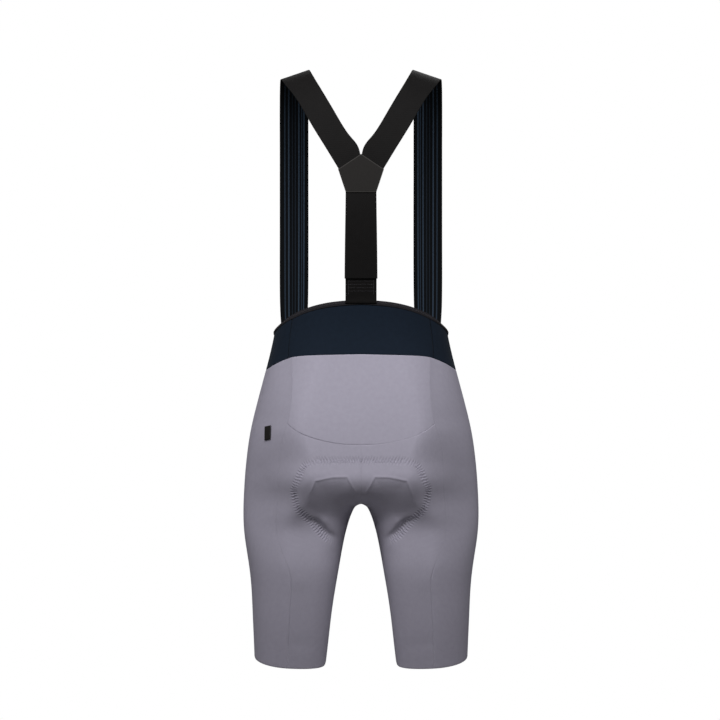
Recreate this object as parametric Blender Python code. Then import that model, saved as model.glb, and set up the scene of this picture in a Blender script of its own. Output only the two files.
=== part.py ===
"""Cycling bib shorts, filled out as worn and hollow, with every cut piece as its own solid.

Metres, +Z up. The wearer's back faces -Y and the wearer's right is +X. The origin lies midway
between the two straps, at the top of the shoulders, where the wearer holds the garment up.
"""

import math

import bpy
import numpy as np

# Cloth and gaps
KNIT = 0.0012  # wall of the shorts' knit
ELASTIC = 0.0015  # wall of the straps and of the waist binding
LABEL = 0.0009  # wall of the labels
SEAM = 0.0003  # gap between two pieces that are sewn together

# The trunk and the legs. Each row is a level ring of the shorts' outer face:
# z, half width over both legs, furthest front, depth of the widest point.
RING_COLUMNS = ("z", "half_width", "front", "side")
RINGS = (
    (-0.930, 0.1645, 0.0735, 0.0120),
    (-0.879, 0.1665, 0.0800, 0.0130),
    (-0.837, 0.1680, 0.0860, 0.0140),
    (-0.795, 0.1705, 0.0925, 0.0155),
    (-0.753, 0.1755, 0.0995, 0.0170),
    (-0.711, 0.1812, 0.1065, 0.0190),
    (-0.663, 0.1830, 0.1150, 0.0210),
    (-0.628, 0.1815, 0.1210, 0.0225),
    (-0.586, 0.1770, 0.1270, 0.0240),
    (-0.544, 0.1705, 0.1310, 0.0250),
    (-0.502, 0.1604, 0.1345, 0.0260),
    (-0.460, 0.1490, 0.1375, 0.0270),
    (-0.418, 0.1390, 0.1390, 0.0275),
    (-0.376, 0.1315, 0.1380, 0.0275),
    (-0.330, 0.1290, 0.1350, 0.0270),
)
# The back of each ring, which folds under the buttocks: z, furthest back, and how far it
# slants in from the buttock to the hip, as a share of its depth.
BACK_COLUMNS = ("z", "back", "slant")
BACKS = (
    (-0.930, -0.0503, 0.000), (-0.900, -0.0555, 0.000), (-0.840, -0.0653, 0.010), (-0.790, -0.0720, 0.060),
    (-0.760, -0.0745, 0.110), (-0.738, -0.0746, 0.180), (-0.715, -0.0730, 0.260), (-0.700, -0.0742, 0.325),
    (-0.680, -0.0815, 0.410), (-0.660, -0.0928, 0.465), (-0.640, -0.1037, 0.475), (-0.624, -0.1088, 0.460),
    (-0.605, -0.1080, 0.425), (-0.586, -0.1052, 0.370), (-0.544, -0.0965, 0.300), (-0.502, -0.0848, 0.190),
    (-0.460, -0.0722, 0.110), (-0.418, -0.0605, 0.070), (-0.376, -0.0555, 0.040), (-0.330, -0.0580, 0.020),
)

# The crotch: the legs part along a parabola, half gap squared = ARCH * depth below the crotch,
# and above it the valley between the two leg tubes runs out over BRIDGE.
CROTCH_Z = -0.663
ARCH = 0.0120
RISE = 0.13567
BRIDGE = 0.062
SOFTEN = 0.010  # height over which the tubes' middles stop drawing together
FILLET = 0.006  # rounding of the valley between the tubes at the crotch
TRUNK_FILLET = 0.034  # the same rounding higher up, where it flattens the trunk
FILLET_RISE = 0.090  # height over which one becomes the other
TRUNK_FROM = 0.115  # height over the crotch from which the two tubes' middles run together
TRUNK_RISE = 0.200
TRUNK_SHARE = 0.85
SQUARE = 3.2  # how square the inner side of each leg is: 2 is round

# Hems: lower at the back than at the front, and a little lower on the inner than the outer leg
HEM_Z = -0.902
HEM_DIP = 0.0102
HEM_INNER_DIP = 0.0045

# The waist's top edge and the line where the navy band meets the grey knit: share of the way
# round from the centre back (0) to the centre front (1), and height.
WAIST_TOP = (
    (0.00, -0.3495), (0.14, -0.3540), (0.24, -0.3630), (0.33, -0.3765),
    (0.40, -0.3890), (0.47, -0.3965), (0.60, -0.4040), (0.80, -0.4150), (1.00, -0.4200),
)
BAND_FOOT = (
    (0.00, -0.4328), (0.18, -0.4345), (0.29, -0.4385), (0.35, -0.4450),
    (0.42, -0.4535), (0.49, -0.4580), (0.62, -0.4640), (0.80, -0.4710), (1.00, -0.4750),
)
BINDING_WIDTH = 0.0075  # at the centre back
BINDING_SIDE_WIDTH = 0.0050  # from the sides round the front

# The yoke's foot is a parabola between the centre back and the back seam
YOKE_FOOT_MIDDLE = -0.570
YOKE_FOOT_CORNER = -0.538

# Seams that run down the garment: height, and distance from the middle plane
BAND_SEAM = ((-0.470, 0.1120), (-0.436, 0.1125), (-0.400, 0.1090), (-0.376, 0.1055), (-0.340, 0.1035))
BACK_SEAM = (
    (-0.930, 0.1125), (-0.907, 0.1118), (-0.843, 0.1090), (-0.800, 0.1065), (-0.772, 0.1070),
    (-0.748, 0.1145), (-0.722, 0.1250), (-0.690, 0.1300), (-0.647, 0.1265), (-0.594, 0.1240),
    (-0.563, 0.1195), (-0.538, 0.1120), (-0.505, 0.1065), (-0.430, 0.1070),
)
FRONT_SEAM = (
    (-0.930, 0.1080), (-0.850, 0.1060), (-0.780, 0.1080), (-0.700, 0.1180),
    (-0.620, 0.1220), (-0.540, 0.1150), (-0.460, 0.1000), (-0.400, 0.0920),
)

# The pad: its stations fan round an axis along X, from the back (0 degrees is level) under
# the crotch to the front. Each has the half width round the cloth and the foam's thickness.
PAD_AXIS_Y = 0.015
PAD_AXIS_Z = -0.553
PAD_COLUMNS = ("degrees", "half_width", "thickness")
PAD = (
    (16.0, 0.0660, 0.0030), (18.0, 0.0800, 0.0040), (21.0, 0.0900, 0.0050), (25.0, 0.0970, 0.0065),
    (31.0, 0.1040, 0.0085), (38.0, 0.1104, 0.0100), (44.0, 0.1095, 0.0105), (49.0, 0.1062, 0.0105),
    (55.0, 0.0955, 0.0100), (62.0, 0.0858, 0.0100), (72.0, 0.0762, 0.0090), (81.0, 0.0695, 0.0085),
    (90.0, 0.0640, 0.0080), (102.0, 0.0600, 0.0075), (116.0, 0.0605, 0.0070), (132.0, 0.0600, 0.0060),
    (146.0, 0.0560, 0.0045), (154.0, 0.0440, 0.0030),
)
PAD_EDGE = 0.0015  # the pad's thickness where it is stitched down
PAD_CLEARANCE = 0.003
PAD_STATIONS = 27
PAD_SIDE_CELLS = 9

# The right strap's face towards the body, from the chest over the shoulder to the yoke of
# the Y: its inner and its outer edge, each as x, y and z.
STRAP = (
    ((0.0868, 0.1140, -0.3920), (0.1256, 0.0885, -0.3920)),
    ((0.0850, 0.1160, -0.3700), (0.1275, 0.0960, -0.3700)),
    ((0.0838, 0.1175, -0.3300), (0.1288, 0.1015, -0.3300)),
    ((0.0836, 0.1185, -0.2700), (0.1290, 0.1050, -0.2700)),
    ((0.0836, 0.1180, -0.2100), (0.1290, 0.1060, -0.2100)),
    ((0.0836, 0.1130, -0.1500), (0.1289, 0.1020, -0.1510)),
    ((0.0834, 0.1020, -0.0990), (0.1286, 0.0920, -0.1030)),
    ((0.0831, 0.0850, -0.0560), (0.1282, 0.0760, -0.0630)),
    ((0.0826, 0.0650, -0.0250), (0.1275, 0.0570, -0.0350)),
    ((0.0818, 0.0430, -0.0055), (0.1266, 0.0360, -0.0180)),
    ((0.0810, 0.0210, 0.0045), (0.1256, 0.0160, -0.0105)),
    ((0.0798, 0.0000, 0.0070), (0.1240, -0.0035, -0.0085)),
    ((0.0768, -0.0190, 0.0015), (0.1192, -0.0205, -0.0150)),
    ((0.0702, -0.0360, -0.0110), (0.1095, -0.0365, -0.0275)),
    ((0.0594, -0.0520, -0.0300), (0.0960, -0.0530, -0.0470)),
    ((0.0399, -0.0690, -0.0640), (0.0765, -0.0690, -0.0815)),
    ((0.0192, -0.0785, -0.1000), (0.0550, -0.0780, -0.1170)),
    ((0.0032, -0.0822, -0.1277), (0.0345, -0.0822, -0.1510)),
    ((0.0004, -0.0828, -0.1500), (0.0262, -0.0828, -0.1640)),
    ((0.0004, -0.0832, -0.1712), (0.0205, -0.0832, -0.1712)),
)
STRAP_CELLS = 4  # across the strap
STRAP_FOOT_Z = -0.452  # the strap is sewn onto the front band down to here
STRAP_FOOT_INNER = 0.0890
STRAP_FOOT_OUTER = 0.1215

# The strap down the spine and the tab that carries it: z, y of the face towards the body,
# and half width
SPINE_COLUMNS = ("z", "y", "half_width")
SPINE_STRAP = (
    (-0.1718, -0.0832, 0.0233), (-0.2000, -0.0830, 0.0235), (-0.2400, -0.0795, 0.0241),
    (-0.2800, -0.0735, 0.0247), (-0.3175, -0.0668, 0.0251),
)
SPINE_TAB = (
    (-0.2950, -0.0686, 0.0238), (-0.3150, -0.0648, 0.0238), (-0.3300, -0.0616, 0.0238),
    (-0.3440, -0.0583, 0.0238),
)
SPINE_TAB_FOOT = (-0.3496, -0.3557)  # heights where it lies on the binding
SPINE_CELLS = 4

# The five-sided label over the Y, half of its outline, and the tab label on the left hip
Y_LABEL = ((0.0000, -0.1290), (0.0348, -0.1522), (0.0232, -0.1872))
Y_LABEL_FACE = -0.0852
HIP_LABEL_X = (0.1365, 0.1475)
HIP_LABEL_Z = (-0.5640, -0.5430)
HIP_LABEL_SLANT = 0.0025

COLOURS = {  # linear colour and roughness of each cloth
    "lilac_knit": ((0.246, 0.232, 0.270), 0.75),
    "navy_knit": ((0.012, 0.018, 0.032), 0.80),
    "black_elastic": ((0.012, 0.012, 0.013), 0.85),
    "black_label": ((0.022, 0.021, 0.022), 0.60),
    "pad_foam": ((0.060, 0.062, 0.070), 0.90),
}

ARC_SAMPLES = 161
SETTLE_ROUNDS = 8

# Cells of the pieces' grids
BACK_CELLS = 9  # from the centre back to the band's seam
SIDE_CELLS = 10
FRONT_CELLS = 8  # from the centre front to the front seam
BAND_CELLS = 4
SEAT_CELLS = 13
YOKE_ROWS = 8
SEAT_ROWS = 13  # down to the crotch
INSEAM_ROWS = 16


def clear_scene():
    for old in list(bpy.data.objects):
        bpy.data.objects.remove(old)


def columns(names, rows):
    return dict(zip(names, np.array(rows).T))


def spline(at, places, values):
    """A natural cubic spline through the values, with straight runs past its two ends."""
    places, values = np.array(places, float), np.array(values, float)
    order = np.argsort(places)
    places, values = places[order], values[order]
    steps, slopes = np.diff(places), np.diff(values) / np.diff(places)
    matrix, right = np.eye(len(places)), np.zeros(len(places))
    for i in range(1, len(places) - 1):
        matrix[i, i - 1 : i + 2] = steps[i - 1], 2 * (steps[i - 1] + steps[i]), steps[i]
        right[i] = 6 * (slopes[i] - slopes[i - 1])
    bend = np.linalg.solve(matrix, right)
    at = np.asarray(at, float)
    i = np.clip(np.searchsorted(places, at) - 1, 0, len(steps) - 1)
    inside = np.clip(at, places[0], places[-1])
    a, b, h = places[i + 1] - inside, inside - places[i], steps[i]
    curve = (bend[i] * a**3 + bend[i + 1] * b**3) / (6 * h)
    curve += (values[i] / h - bend[i] * h / 6) * a + (values[i + 1] / h - bend[i + 1] * h / 6) * b
    ends = np.where(at < places[0], slopes[0], slopes[-1])
    return curve + (at - inside) * ends


def ease(t):
    t = np.clip(t, 0, 1)
    return t * t * (3 - 2 * t)


RING = columns(RING_COLUMNS, RINGS)
BACK = columns(BACK_COLUMNS, BACKS)


def ring_at(z):
    """The level ring at height z: the valley's rounding, then the right tube's middle, inner
    end and outer reach along x, how deep the valley is, the depth of the widest point, and
    the back, the front and the slant."""
    half, front, side = (spline(z, RING["z"], RING[name]) for name in RING_COLUMNS[1:])
    back, slant = (spline(z, BACK["z"], BACK[name]) for name in BACK_COLUMNS[1:])
    rise = np.asarray(z, float) - CROTCH_Z
    fillet = FILLET + (TRUNK_FILLET - FILLET) * ease(rise / FILLET_RISE)
    outer = np.hypot(half, fillet)
    inner = np.where(rise > 0, fillet, np.sqrt(FILLET**2 + ARCH * np.maximum(-rise, 0)))
    soft_gap = np.sqrt(FILLET**2 + ARCH * (np.hypot(rise, SOFTEN) - rise) / 2)
    centre = (outer + soft_gap) / 2
    centre = centre + (fillet - centre) * TRUNK_SHARE * ease((rise - TRUNK_FROM) / TRUNK_RISE)
    valley = np.clip(1 - rise / RISE, 0, 1) ** 1.5 * (1 - ease(rise / BRIDGE))
    return fillet, centre, inner, outer - centre, valley, side, side - back, front - side, slant


def slanted(slant, across):
    """Share of the back's depth: it runs nearly straight from the buttock to the hip."""
    outer = np.maximum(across, 0)
    return 1 - slant * outer**2 * (3 - 2 * outer)


def ring_points(ring, angle):
    """Points on a ring: angle 0 is the outer side, a quarter turn back is the wearer's back,
    and a half turn is the inner side or the middle plane."""
    fillet, centre, inner, reach, valley, side, back, front, slant = ring
    across = np.cos(angle)
    past = centre + across * np.where(across > 0, reach, centre - inner)
    x = np.sqrt(np.maximum(past**2 - fillet**2, 0))
    power = np.where(across > 0, 2, SQUARE)
    across, width = np.broadcast_arrays(across, np.where(across > 0, 1, valley))
    level = np.maximum(1 - np.abs(width * across) ** power, 0) ** (1 / power)
    return x, side + level * np.where(angle < 0, -back * slanted(slant, across), front)


def across_tube(ring, x):
    """-1 at the tube's inner end, 0 at its middle and 1 at its outer side."""
    fillet, centre, inner, reach = ring[:4]
    past = np.hypot(x, fillet) - centre
    return past / np.where(past > 0, reach, centre - inner)


def level_of(p):
    """1 on the shorts' outer face, and less inside it."""
    ring = ring_at(p[..., 2])
    valley, side, back, front, slant = ring[4:]
    across = across_tube(ring, p[..., 0])
    depth = np.where(p[..., 1] < side, back * slanted(slant, across), front)
    power = np.where(across > 0, 2, SQUARE)
    wide, deep = np.where(across > 0, 1, valley) * across, (p[..., 1] - side) / depth
    return (np.abs(wide) ** power + np.abs(deep) ** power) ** (2 / power)


def arcs(z):
    """Angles round the half rings at heights z, and the cloth's length up to each."""
    ring = [part[..., None] for part in ring_at(z)]
    turn = math.pi * np.sin(np.linspace(-math.pi / 2, math.pi / 2, ARC_SAMPLES))
    angle = np.broadcast_to(turn, np.shape(z) + turn.shape)
    x, y = ring_points(ring, angle)
    length = np.zeros(angle.shape)
    length[..., 1:] = np.cumsum(np.hypot(np.diff(x), np.diff(y)), axis=-1)
    return angle, length


def read_rows(wanted, places, values):
    """Linear interpolation in one table per point. The places rise along the last axis."""
    i = np.clip((places < wanted[..., None]).sum(-1, keepdims=True), 1, ARC_SAMPLES - 1)
    x0, x1 = np.take_along_axis(places, i - 1, -1), np.take_along_axis(places, i, -1)
    y0, y1 = np.take_along_axis(values, i - 1, -1), np.take_along_axis(values, i, -1)
    share = (wanted[..., None] - x0) / np.maximum(x1 - x0, 1e-12)
    return (y0 + share * (y1 - y0))[..., 0]


def body_point(u, z):
    """The shorts' outer face at share u of the way round from centre back to centre front,
    at height z. A negative u is on the wearer's left."""
    u, z = np.broadcast_arrays(np.asarray(u, float), np.asarray(z, float))
    angle, length = arcs(z)
    x, y = ring_points(ring_at(z), read_rows(np.abs(u) * length[..., -1], length, angle))
    return np.stack([np.where(u < 0, -x, x), y, z], axis=-1)


def share_round(z, x, front=False):
    """The share u at which the ring at height z is x away from the middle plane."""
    z, x = np.broadcast_arrays(np.asarray(z, float), np.asarray(x, float))
    wanted = np.arccos(np.clip(across_tube(ring_at(z), x), -1, 1))
    angle, length = arcs(z)
    return read_rows(wanted if front else -wanted, angle, length) / length[..., -1]


def seam(table, front=False):
    """A seam's share u as a function of height."""
    places = [row[0] for row in table]
    offsets = [row[1] for row in table]
    return lambda z: share_round(z, spline(z, places, offsets), front)


def outward(points):
    """Unit normals of the body's face, from its level function."""
    step = 1e-5
    slope = [level_of(points + step * axis) - level_of(points - step * axis) for axis in np.eye(3)]
    normal = np.stack(slope, axis=-1)
    return normal / np.linalg.norm(normal, axis=-1, keepdims=True)


def cloth_point(u, z, lift=0.0):
    """A point of the knit's outer face, moved out by lift, kept off the middle seam."""
    base = body_point(u, z)
    return base + outward(base) * lift


def off_middle(points):
    """Keeps a right-hand piece half a seam clear of the middle plane."""
    points[..., 0] = np.maximum(points[..., 0], SEAM / 2)
    return points


def seam_shares(z):
    """Half a seam's gap as a share of the way round at height z."""
    return SEAM / 2 / arcs(z)[1][..., -1]


# Building solids


def material(name):
    made = bpy.data.materials.get(name)
    if made is None:
        made = bpy.data.materials.new(name)
        made.use_nodes = True
        shader = made.node_tree.nodes["Principled BSDF"]
        colour, roughness = COLOURS[name]
        shader.inputs["Base Color"].default_value = (*colour, 1)
        shader.inputs["Roughness"].default_value = roughness
        shader.inputs["Metallic"].default_value = 0
        made.diffuse_color = (*colour, 1)
    return made


def finish(name, mesh, cloth, home):
    mesh.shade_smooth()
    mesh.set_sharp_from_angle(angle=math.radians(40))
    mesh.materials.append(material(cloth))
    made = bpy.data.objects.new(name, mesh)
    home.objects.link(made)
    return made


def wall(name, outer, inner, cloth, home, ring=False):
    """A wall lofted between two grids of the same sections, outer and inner. The columns run
    to the right as seen from outside and the rows run down; a ring closes on itself."""
    rows, cells = outer.shape[:2]
    count = rows * cells
    last = cells if ring else cells - 1
    faces = []
    for i in range(rows):
        for j in range(last):
            here, right = i * cells + j, i * cells + (j + 1) % cells
            if i < rows - 1:
                below, across = here + cells, right + cells
                faces += [(here, below, across, right)]
                faces += [(count + here, count + right, count + across, count + below)]
            if i == 0:
                faces += [(here, right, count + right, count + here)]
            if i == rows - 1:
                faces += [(here, count + here, count + right, right)]
    for i in range(0 if ring else rows - 1):
        left, right = i * cells, i * cells + cells - 1
        faces += [(left, count + left, count + left + cells, left + cells)]
        faces += [(right, right + cells, count + right + cells, count + right)]
    mesh = bpy.data.meshes.new(name)
    points = np.concatenate([outer.reshape(-1, 3), inner.reshape(-1, 3)])
    mesh.from_pydata(points.tolist(), [], faces)
    mesh.validate()
    return finish(name, mesh, cloth, home)


def knit_wall(name, u, z, cloth, home, thickness=KNIT, lift=0.0, middle=False, ring=False):
    """A wall of cloth on the body, from the shares and heights of its grid."""
    outer, inner = cloth_point(u, z, lift), cloth_point(u, z, lift - thickness)
    if middle:
        outer, inner = off_middle(outer), off_middle(inner)
    return wall(name, outer, inner, cloth, home, ring)


def mirrored(made, name, home):
    """The same piece for the wearer's other side."""
    mesh = made.data.copy()
    mesh.name = name
    for vertex in mesh.vertices:
        vertex.co.x = -vertex.co.x
    mesh.flip_normals()
    twin = bpy.data.objects.new(name, mesh)
    home.objects.link(twin)
    return twin


def even(cells):
    return np.linspace(0, 1, cells + 1)


def even_heights(side, top, foot, cells):
    """Evenly spaced heights down a seam, between two level lines."""
    high, low = float(top(0.5)), float(foot(0.5))
    for _ in range(SETTLE_ROUNDS):
        high, low = float(top(side(high))) - SEAM / 2, float(foot(side(low))) + SEAM / 2
    return high + (low - high) * even(cells)


def strip_grid(left, right, top, foot, down, across):
    """Shares and heights of a piece between two seams, left(z) and right(z), and two level
    lines, top(u) and foot(u). Down holds the rows' heights at the left and at the right
    seam, and across the columns' shares. The lines depend on each other, so the grid is
    settled."""
    flat = down[0][:, None] + (down[1] - down[0])[:, None] * across
    share = even(len(flat) - 1)[:, None]
    z = flat
    for _ in range(SETTLE_ROUNDS):
        inset = seam_shares(z)
        low, high = left(z) + inset, right(z) - inset
        u = low + (high - low) * across
        rise = top(u[0]) - SEAM / 2 - flat[0]
        drop = foot(u[-1]) + SEAM / 2 - flat[-1]
        z = flat + rise * (1 - share) + drop * share
    return u, z


def waist_top(u):
    return spline(np.abs(u), *zip(*WAIST_TOP))


def band_foot(u):
    return spline(np.abs(u), *zip(*BAND_FOOT))


def band_top(u):
    """Where the navy band starts, under the binding."""
    side = ease((np.abs(u) - 0.28) / 0.10)
    return waist_top(u) - BINDING_WIDTH - (BINDING_SIDE_WIDTH - BINDING_WIDTH) * side


def hem(u):
    """The leg's lower edge, which dips towards the back."""
    turn = 2 * math.pi * np.abs(u)
    return HEM_Z - HEM_DIP * np.sin(turn) - HEM_INNER_DIP * (1 + np.cos(turn)) / 2


def make_waist(home, band_seam, front_seam):
    """The elastic binding round the top, and the navy band under it in four pieces."""
    back = float(band_seam(-0.365)) * even(BACK_CELLS)
    side = back[-1] + (float(front_seam(-0.415)) - back[-1]) * even(SIDE_CELLS)
    front = side[-1] + (1 - side[-1]) * even(FRONT_CELLS)
    half = np.concatenate([back, side[1:], front[1:]])
    turn = np.concatenate([-half[:0:-1], half[:-1]])
    down, u = np.meshgrid(even(1), turn, indexing="ij")
    z = waist_top(u) + (band_top(u) + SEAM / 2 - waist_top(u)) * down
    proud = (ELASTIC - KNIT) / 2
    knit_wall("waist_binding", u, z, "black_elastic", home, ELASTIC, proud, ring=True)

    at_back = even_heights(band_seam, band_top, band_foot, BAND_CELLS)
    at_front = even_heights(front_seam, band_top, band_foot, BAND_CELLS)
    u, z = strip_grid(
        lambda z: -band_seam(z), band_seam, band_top, band_foot, (at_back, at_back),
        even(2 * BACK_CELLS),
    )
    knit_wall("back_band", u, z, "navy_knit", home)

    u, z = strip_grid(
        band_seam, front_seam, band_top, band_foot, (at_back, at_front), even(SIDE_CELLS)
    )
    side = knit_wall("side_band_right", u, z, "navy_knit", home)
    mirrored(side, "side_band_left", home)

    w, z = strip_grid(
        lambda z: front_seam(z) - 1, lambda z: 1 - front_seam(z),
        lambda w: band_top(1 - np.abs(w)), lambda w: band_foot(1 - np.abs(w)),
        (at_front, at_front), even(2 * FRONT_CELLS),
    )
    knit_wall("front_band", np.copysign(1 - np.abs(w), -w), z, "navy_knit", home)


def make_yoke(home, back_seam):
    """The grey yoke over the small of the back. Returns its heights at the side."""
    down, across = np.meshgrid(even(YOKE_ROWS), 2 * even(2 * SEAT_CELLS) - 1, indexing="ij")
    foot = YOKE_FOOT_MIDDLE + (YOKE_FOOT_CORNER - YOKE_FOOT_MIDDLE) * across**2 + SEAM / 2
    z = np.full(down.shape, (YOKE_FOOT_CORNER + band_foot(0)) / 2)
    for _ in range(SETTLE_ROUNDS):
        u = across * (back_seam(z) - seam_shares(z))
        top = band_foot(u) - SEAM / 2
        z = top + (foot - top) * down
    knit_wall("back_yoke", u, z, "lilac_knit", home)
    return z[:, -1]


def leg_rows(top_inner, top_outer, hem_outer, rows_above, crowding):
    """Heights of a leg piece's rows at its inner and at its outer edge. The inner ones are
    close together at the crotch, where the cloth runs level."""
    above = CROTCH_Z + (top_inner - CROTCH_Z) * (1 - even(rows_above)) ** crowding
    q = even(INSEAM_ROWS)[1:]
    below = CROTCH_Z + (HEM_Z - CROTCH_Z) * q * (0.12 + 0.88 * q) ** 0.6
    inner = np.concatenate([above, below])
    return inner, np.linspace(top_outer, hem_outer, len(inner))


def leg_grid(rows, side_share, cells, low_edge, top=None):
    """Shares and heights of a piece from the middle seam, through the crotch and down the
    inseam, out to the seam side_share(z) and down to low_edge(share). Its top row follows
    top(share) if that is given."""
    across = even(cells)[None, :]
    inner, outer = rows[0][:, None], rows[1][:, None]
    to_hem = ease((CROTCH_Z - inner) / (CROTCH_Z - HEM_Z) * 1.15 - 0.15)
    fanned = inner + (outer - inner) * across**2
    z = fanned
    for _ in range(SETTLE_ROUNDS):
        inset = seam_shares(z)
        u = inset + (side_share(z) - 2 * inset) * across
        level = inner + low_edge(u) - HEM_Z
        z = fanned + (level - fanned) * to_hem
        if top is not None:
            z[0] = top(u[0])
    return u, z


def make_seat(home, back_seam):
    """The seat and inner leg, from the centre back seam through the crotch to the hem.
    Returns its heights at the side."""
    rows = leg_rows(
        YOKE_FOOT_MIDDLE - SEAM / 2, YOKE_FOOT_CORNER - SEAM / 2, HEM_Z - HEM_DIP, SEAT_ROWS, 2.0
    )
    u, z = leg_grid(rows, back_seam, SEAT_CELLS, hem)
    seat = knit_wall("seat_right", u, z, "lilac_knit", home, middle=True)
    mirrored(seat, "seat_left", home)
    return z[:, -1]


def make_front(home, front_seam):
    """The front, from the centre front seam through the crotch to the hem. Its shares w
    start at the middle front. Returns its heights at the side."""
    top_inner = float(band_foot(1.0)) - SEAM / 2
    top_outer = float(band_foot(front_seam(-0.470))) - SEAM / 2
    front_rows = YOKE_ROWS + SEAT_ROWS
    rows = leg_rows(top_inner, top_outer, HEM_Z + HEM_DIP, front_rows, 1.6)
    w, z = leg_grid(
        rows, lambda z: 1 - front_seam(z), FRONT_CELLS, lambda w: hem(1 - w),
        lambda w: band_foot(1 - w) - SEAM / 2,
    )
    front = knit_wall(
        "front_right", (1 - w)[:, ::-1], z[:, ::-1], "lilac_knit", home, middle=True
    )
    mirrored(front, "front_left", home)
    return z[:, -1]


def make_sides(home, back_seam, front_seam, band_seam, back_heights, front_heights):
    """The side panels, from the navy band to the hem. Their rows meet their neighbours' and
    their columns meet the band's."""
    low = float(back_seam(back_heights[0]))
    start, end = float(band_seam(back_heights[0])), float(front_seam(front_heights[0]))
    across = (start + (end - start) * even(SIDE_CELLS) - low) / (end - low)
    across[0] = 0
    u, z = strip_grid(
        back_seam, front_seam, band_foot, lambda u: hem(u) - SEAM / 2,
        (back_heights, front_heights), across,
    )
    side = knit_wall("side_right", u, z, "lilac_knit", home)
    mirrored(side, "side_left", home)


def make_hip_label(home):
    """The small tab label sewn flat on the left side panel."""
    down, across = np.meshgrid(np.linspace(1, 0, 3), np.linspace(0, 1, 3), indexing="ij")
    z = HIP_LABEL_Z[0] + (HIP_LABEL_Z[1] - HIP_LABEL_Z[0]) * down
    x = HIP_LABEL_X[1] + (HIP_LABEL_X[0] - HIP_LABEL_X[1]) * across
    u = -share_round(z, x)
    z = z + HIP_LABEL_SLANT * (across - 0.5)
    knit_wall("hip_label", u, z, "black_label", home, LABEL, LABEL + SEAM)


def pad_section(degrees, half_width):
    """Points of the body's face from the middle plane out to half_width along the cloth, in
    a plane through the pad's axis, and the same number on the other side."""
    angle = math.radians(degrees)
    ray = np.array([0.0, -math.cos(angle), -math.sin(angle)])
    axis_point = np.array([0.0, PAD_AXIS_Y, PAD_AXIS_Z])

    def level(x, r):
        return float(level_of(axis_point + ray * r + np.array([x, 0, 0]))) - 1

    low, high = 0.02, 0.20
    for _ in range(40):
        mid = (low + high) / 2
        low, high = (mid, high) if level(0, mid) < 0 else (low, mid)
    x, r, step, tiny = 0.0, low, 0.0005, 1e-6
    walked, track = 0.0, [(0.0, 0.0, low)]
    while walked < half_width + step:
        gx = (level(x + tiny, r) - level(x - tiny, r)) / (2 * tiny)
        gr = (level(x, r + tiny) - level(x, r - tiny)) / (2 * tiny)
        steep = math.hypot(gx, gr)
        x, r = x + step * gr / steep, r - step * gx / steep
        off = level(x, r) / steep
        x, r = x - off * gx / steep, r - off * gr / steep
        walked += step
        track.append((walked, x, r))
    walk, xs, rs = np.array(track).T
    at = np.linspace(0, half_width, PAD_SIDE_CELLS + 1)
    x, r = np.interp(at, walk, xs), np.interp(at, walk, rs)
    right = axis_point + ray * r[:, None] + np.outer(x, [1, 0, 0])
    return np.concatenate([right[:0:-1] * (-1, 1, 1), right])


def make_pad(home):
    """The foam pad inside the crotch, on the knit's inner face."""
    pad = columns(PAD_COLUMNS, PAD)
    turn = np.linspace(pad["degrees"][0], pad["degrees"][-1], PAD_STATIONS)
    half = spline(turn, pad["degrees"], pad["half_width"])
    full = spline(turn, pad["degrees"], pad["thickness"])
    face = np.array([pad_section(a, w) for a, w in zip(turn, half)])
    normal = outward(face)
    clear = -KNIT - PAD_CLEARANCE
    across = np.abs(np.linspace(-1, 1, face.shape[1]))
    thickness = np.maximum(full[:, None] * (1 - across**4), PAD_EDGE)
    thickness[[0, -1]] = PAD_EDGE
    outer, inner = face + normal * clear, face + normal * (clear - thickness[..., None])
    wall("pad", outer, inner, "pad_foam", home)


def strap_normals(face):
    """Unit normals of a grid of points, from its two directions."""
    down, across = np.gradient(face, axis=0), np.gradient(face, axis=1)
    normal = np.cross(down, across)
    return normal / np.linalg.norm(normal, axis=-1, keepdims=True)


def make_straps(home):
    """The long straps, sewn onto the front band, over the shoulders and into the Y."""
    inner_edge = np.array([row[0] for row in STRAP])
    outer_edge = np.array([row[1] for row in STRAP])
    walk = np.concatenate([[0], np.cumsum(np.linalg.norm(np.diff(outer_edge, axis=0), axis=1))])
    at = np.concatenate([
        np.linspace(0, walk[5], 9)[:-1], np.linspace(walk[5], walk[16], 24)[:-1], walk[16:],
    ])
    edges = [
        np.stack([spline(at, walk, edge[:, k]) for k in range(3)], axis=-1)
        for edge in (inner_edge, outer_edge)
    ]
    share = np.linspace(0, 1, STRAP_CELLS + 1)[None, :, None]
    free = edges[0][:, None] * (1 - share) + edges[1][:, None] * share

    foot_z = np.linspace(STRAP_FOOT_Z, float(waist_top(0.72)) - 0.001, 4)
    foot_x = np.linspace(STRAP_FOOT_INNER, STRAP_FOOT_OUTER, STRAP_CELLS + 1)
    lift = (ELASTIC - KNIT) / 2 + SEAM
    foot = cloth_point(share_round(foot_z[:, None], foot_x, True), foot_z[:, None], lift)

    face = np.concatenate([foot, free])
    outer = face + strap_normals(face) * ELASTIC
    strap = wall("strap_right", outer, face, "black_elastic", home)
    mirrored(strap, "strap_left", home)


def spine_face(table, rows):
    """The face towards the body of a flat strap down the spine."""
    line = columns(SPINE_COLUMNS, table)
    z = np.linspace(line["z"][0], line["z"][-1], rows)
    y, half = spline(z, line["z"], line["y"]), spline(z, line["z"], line["half_width"])
    share = np.linspace(-1, 1, SPINE_CELLS + 1)
    return np.stack(np.broadcast_arrays(half[:, None] * share, y[:, None], z[:, None]), axis=-1)


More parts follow.
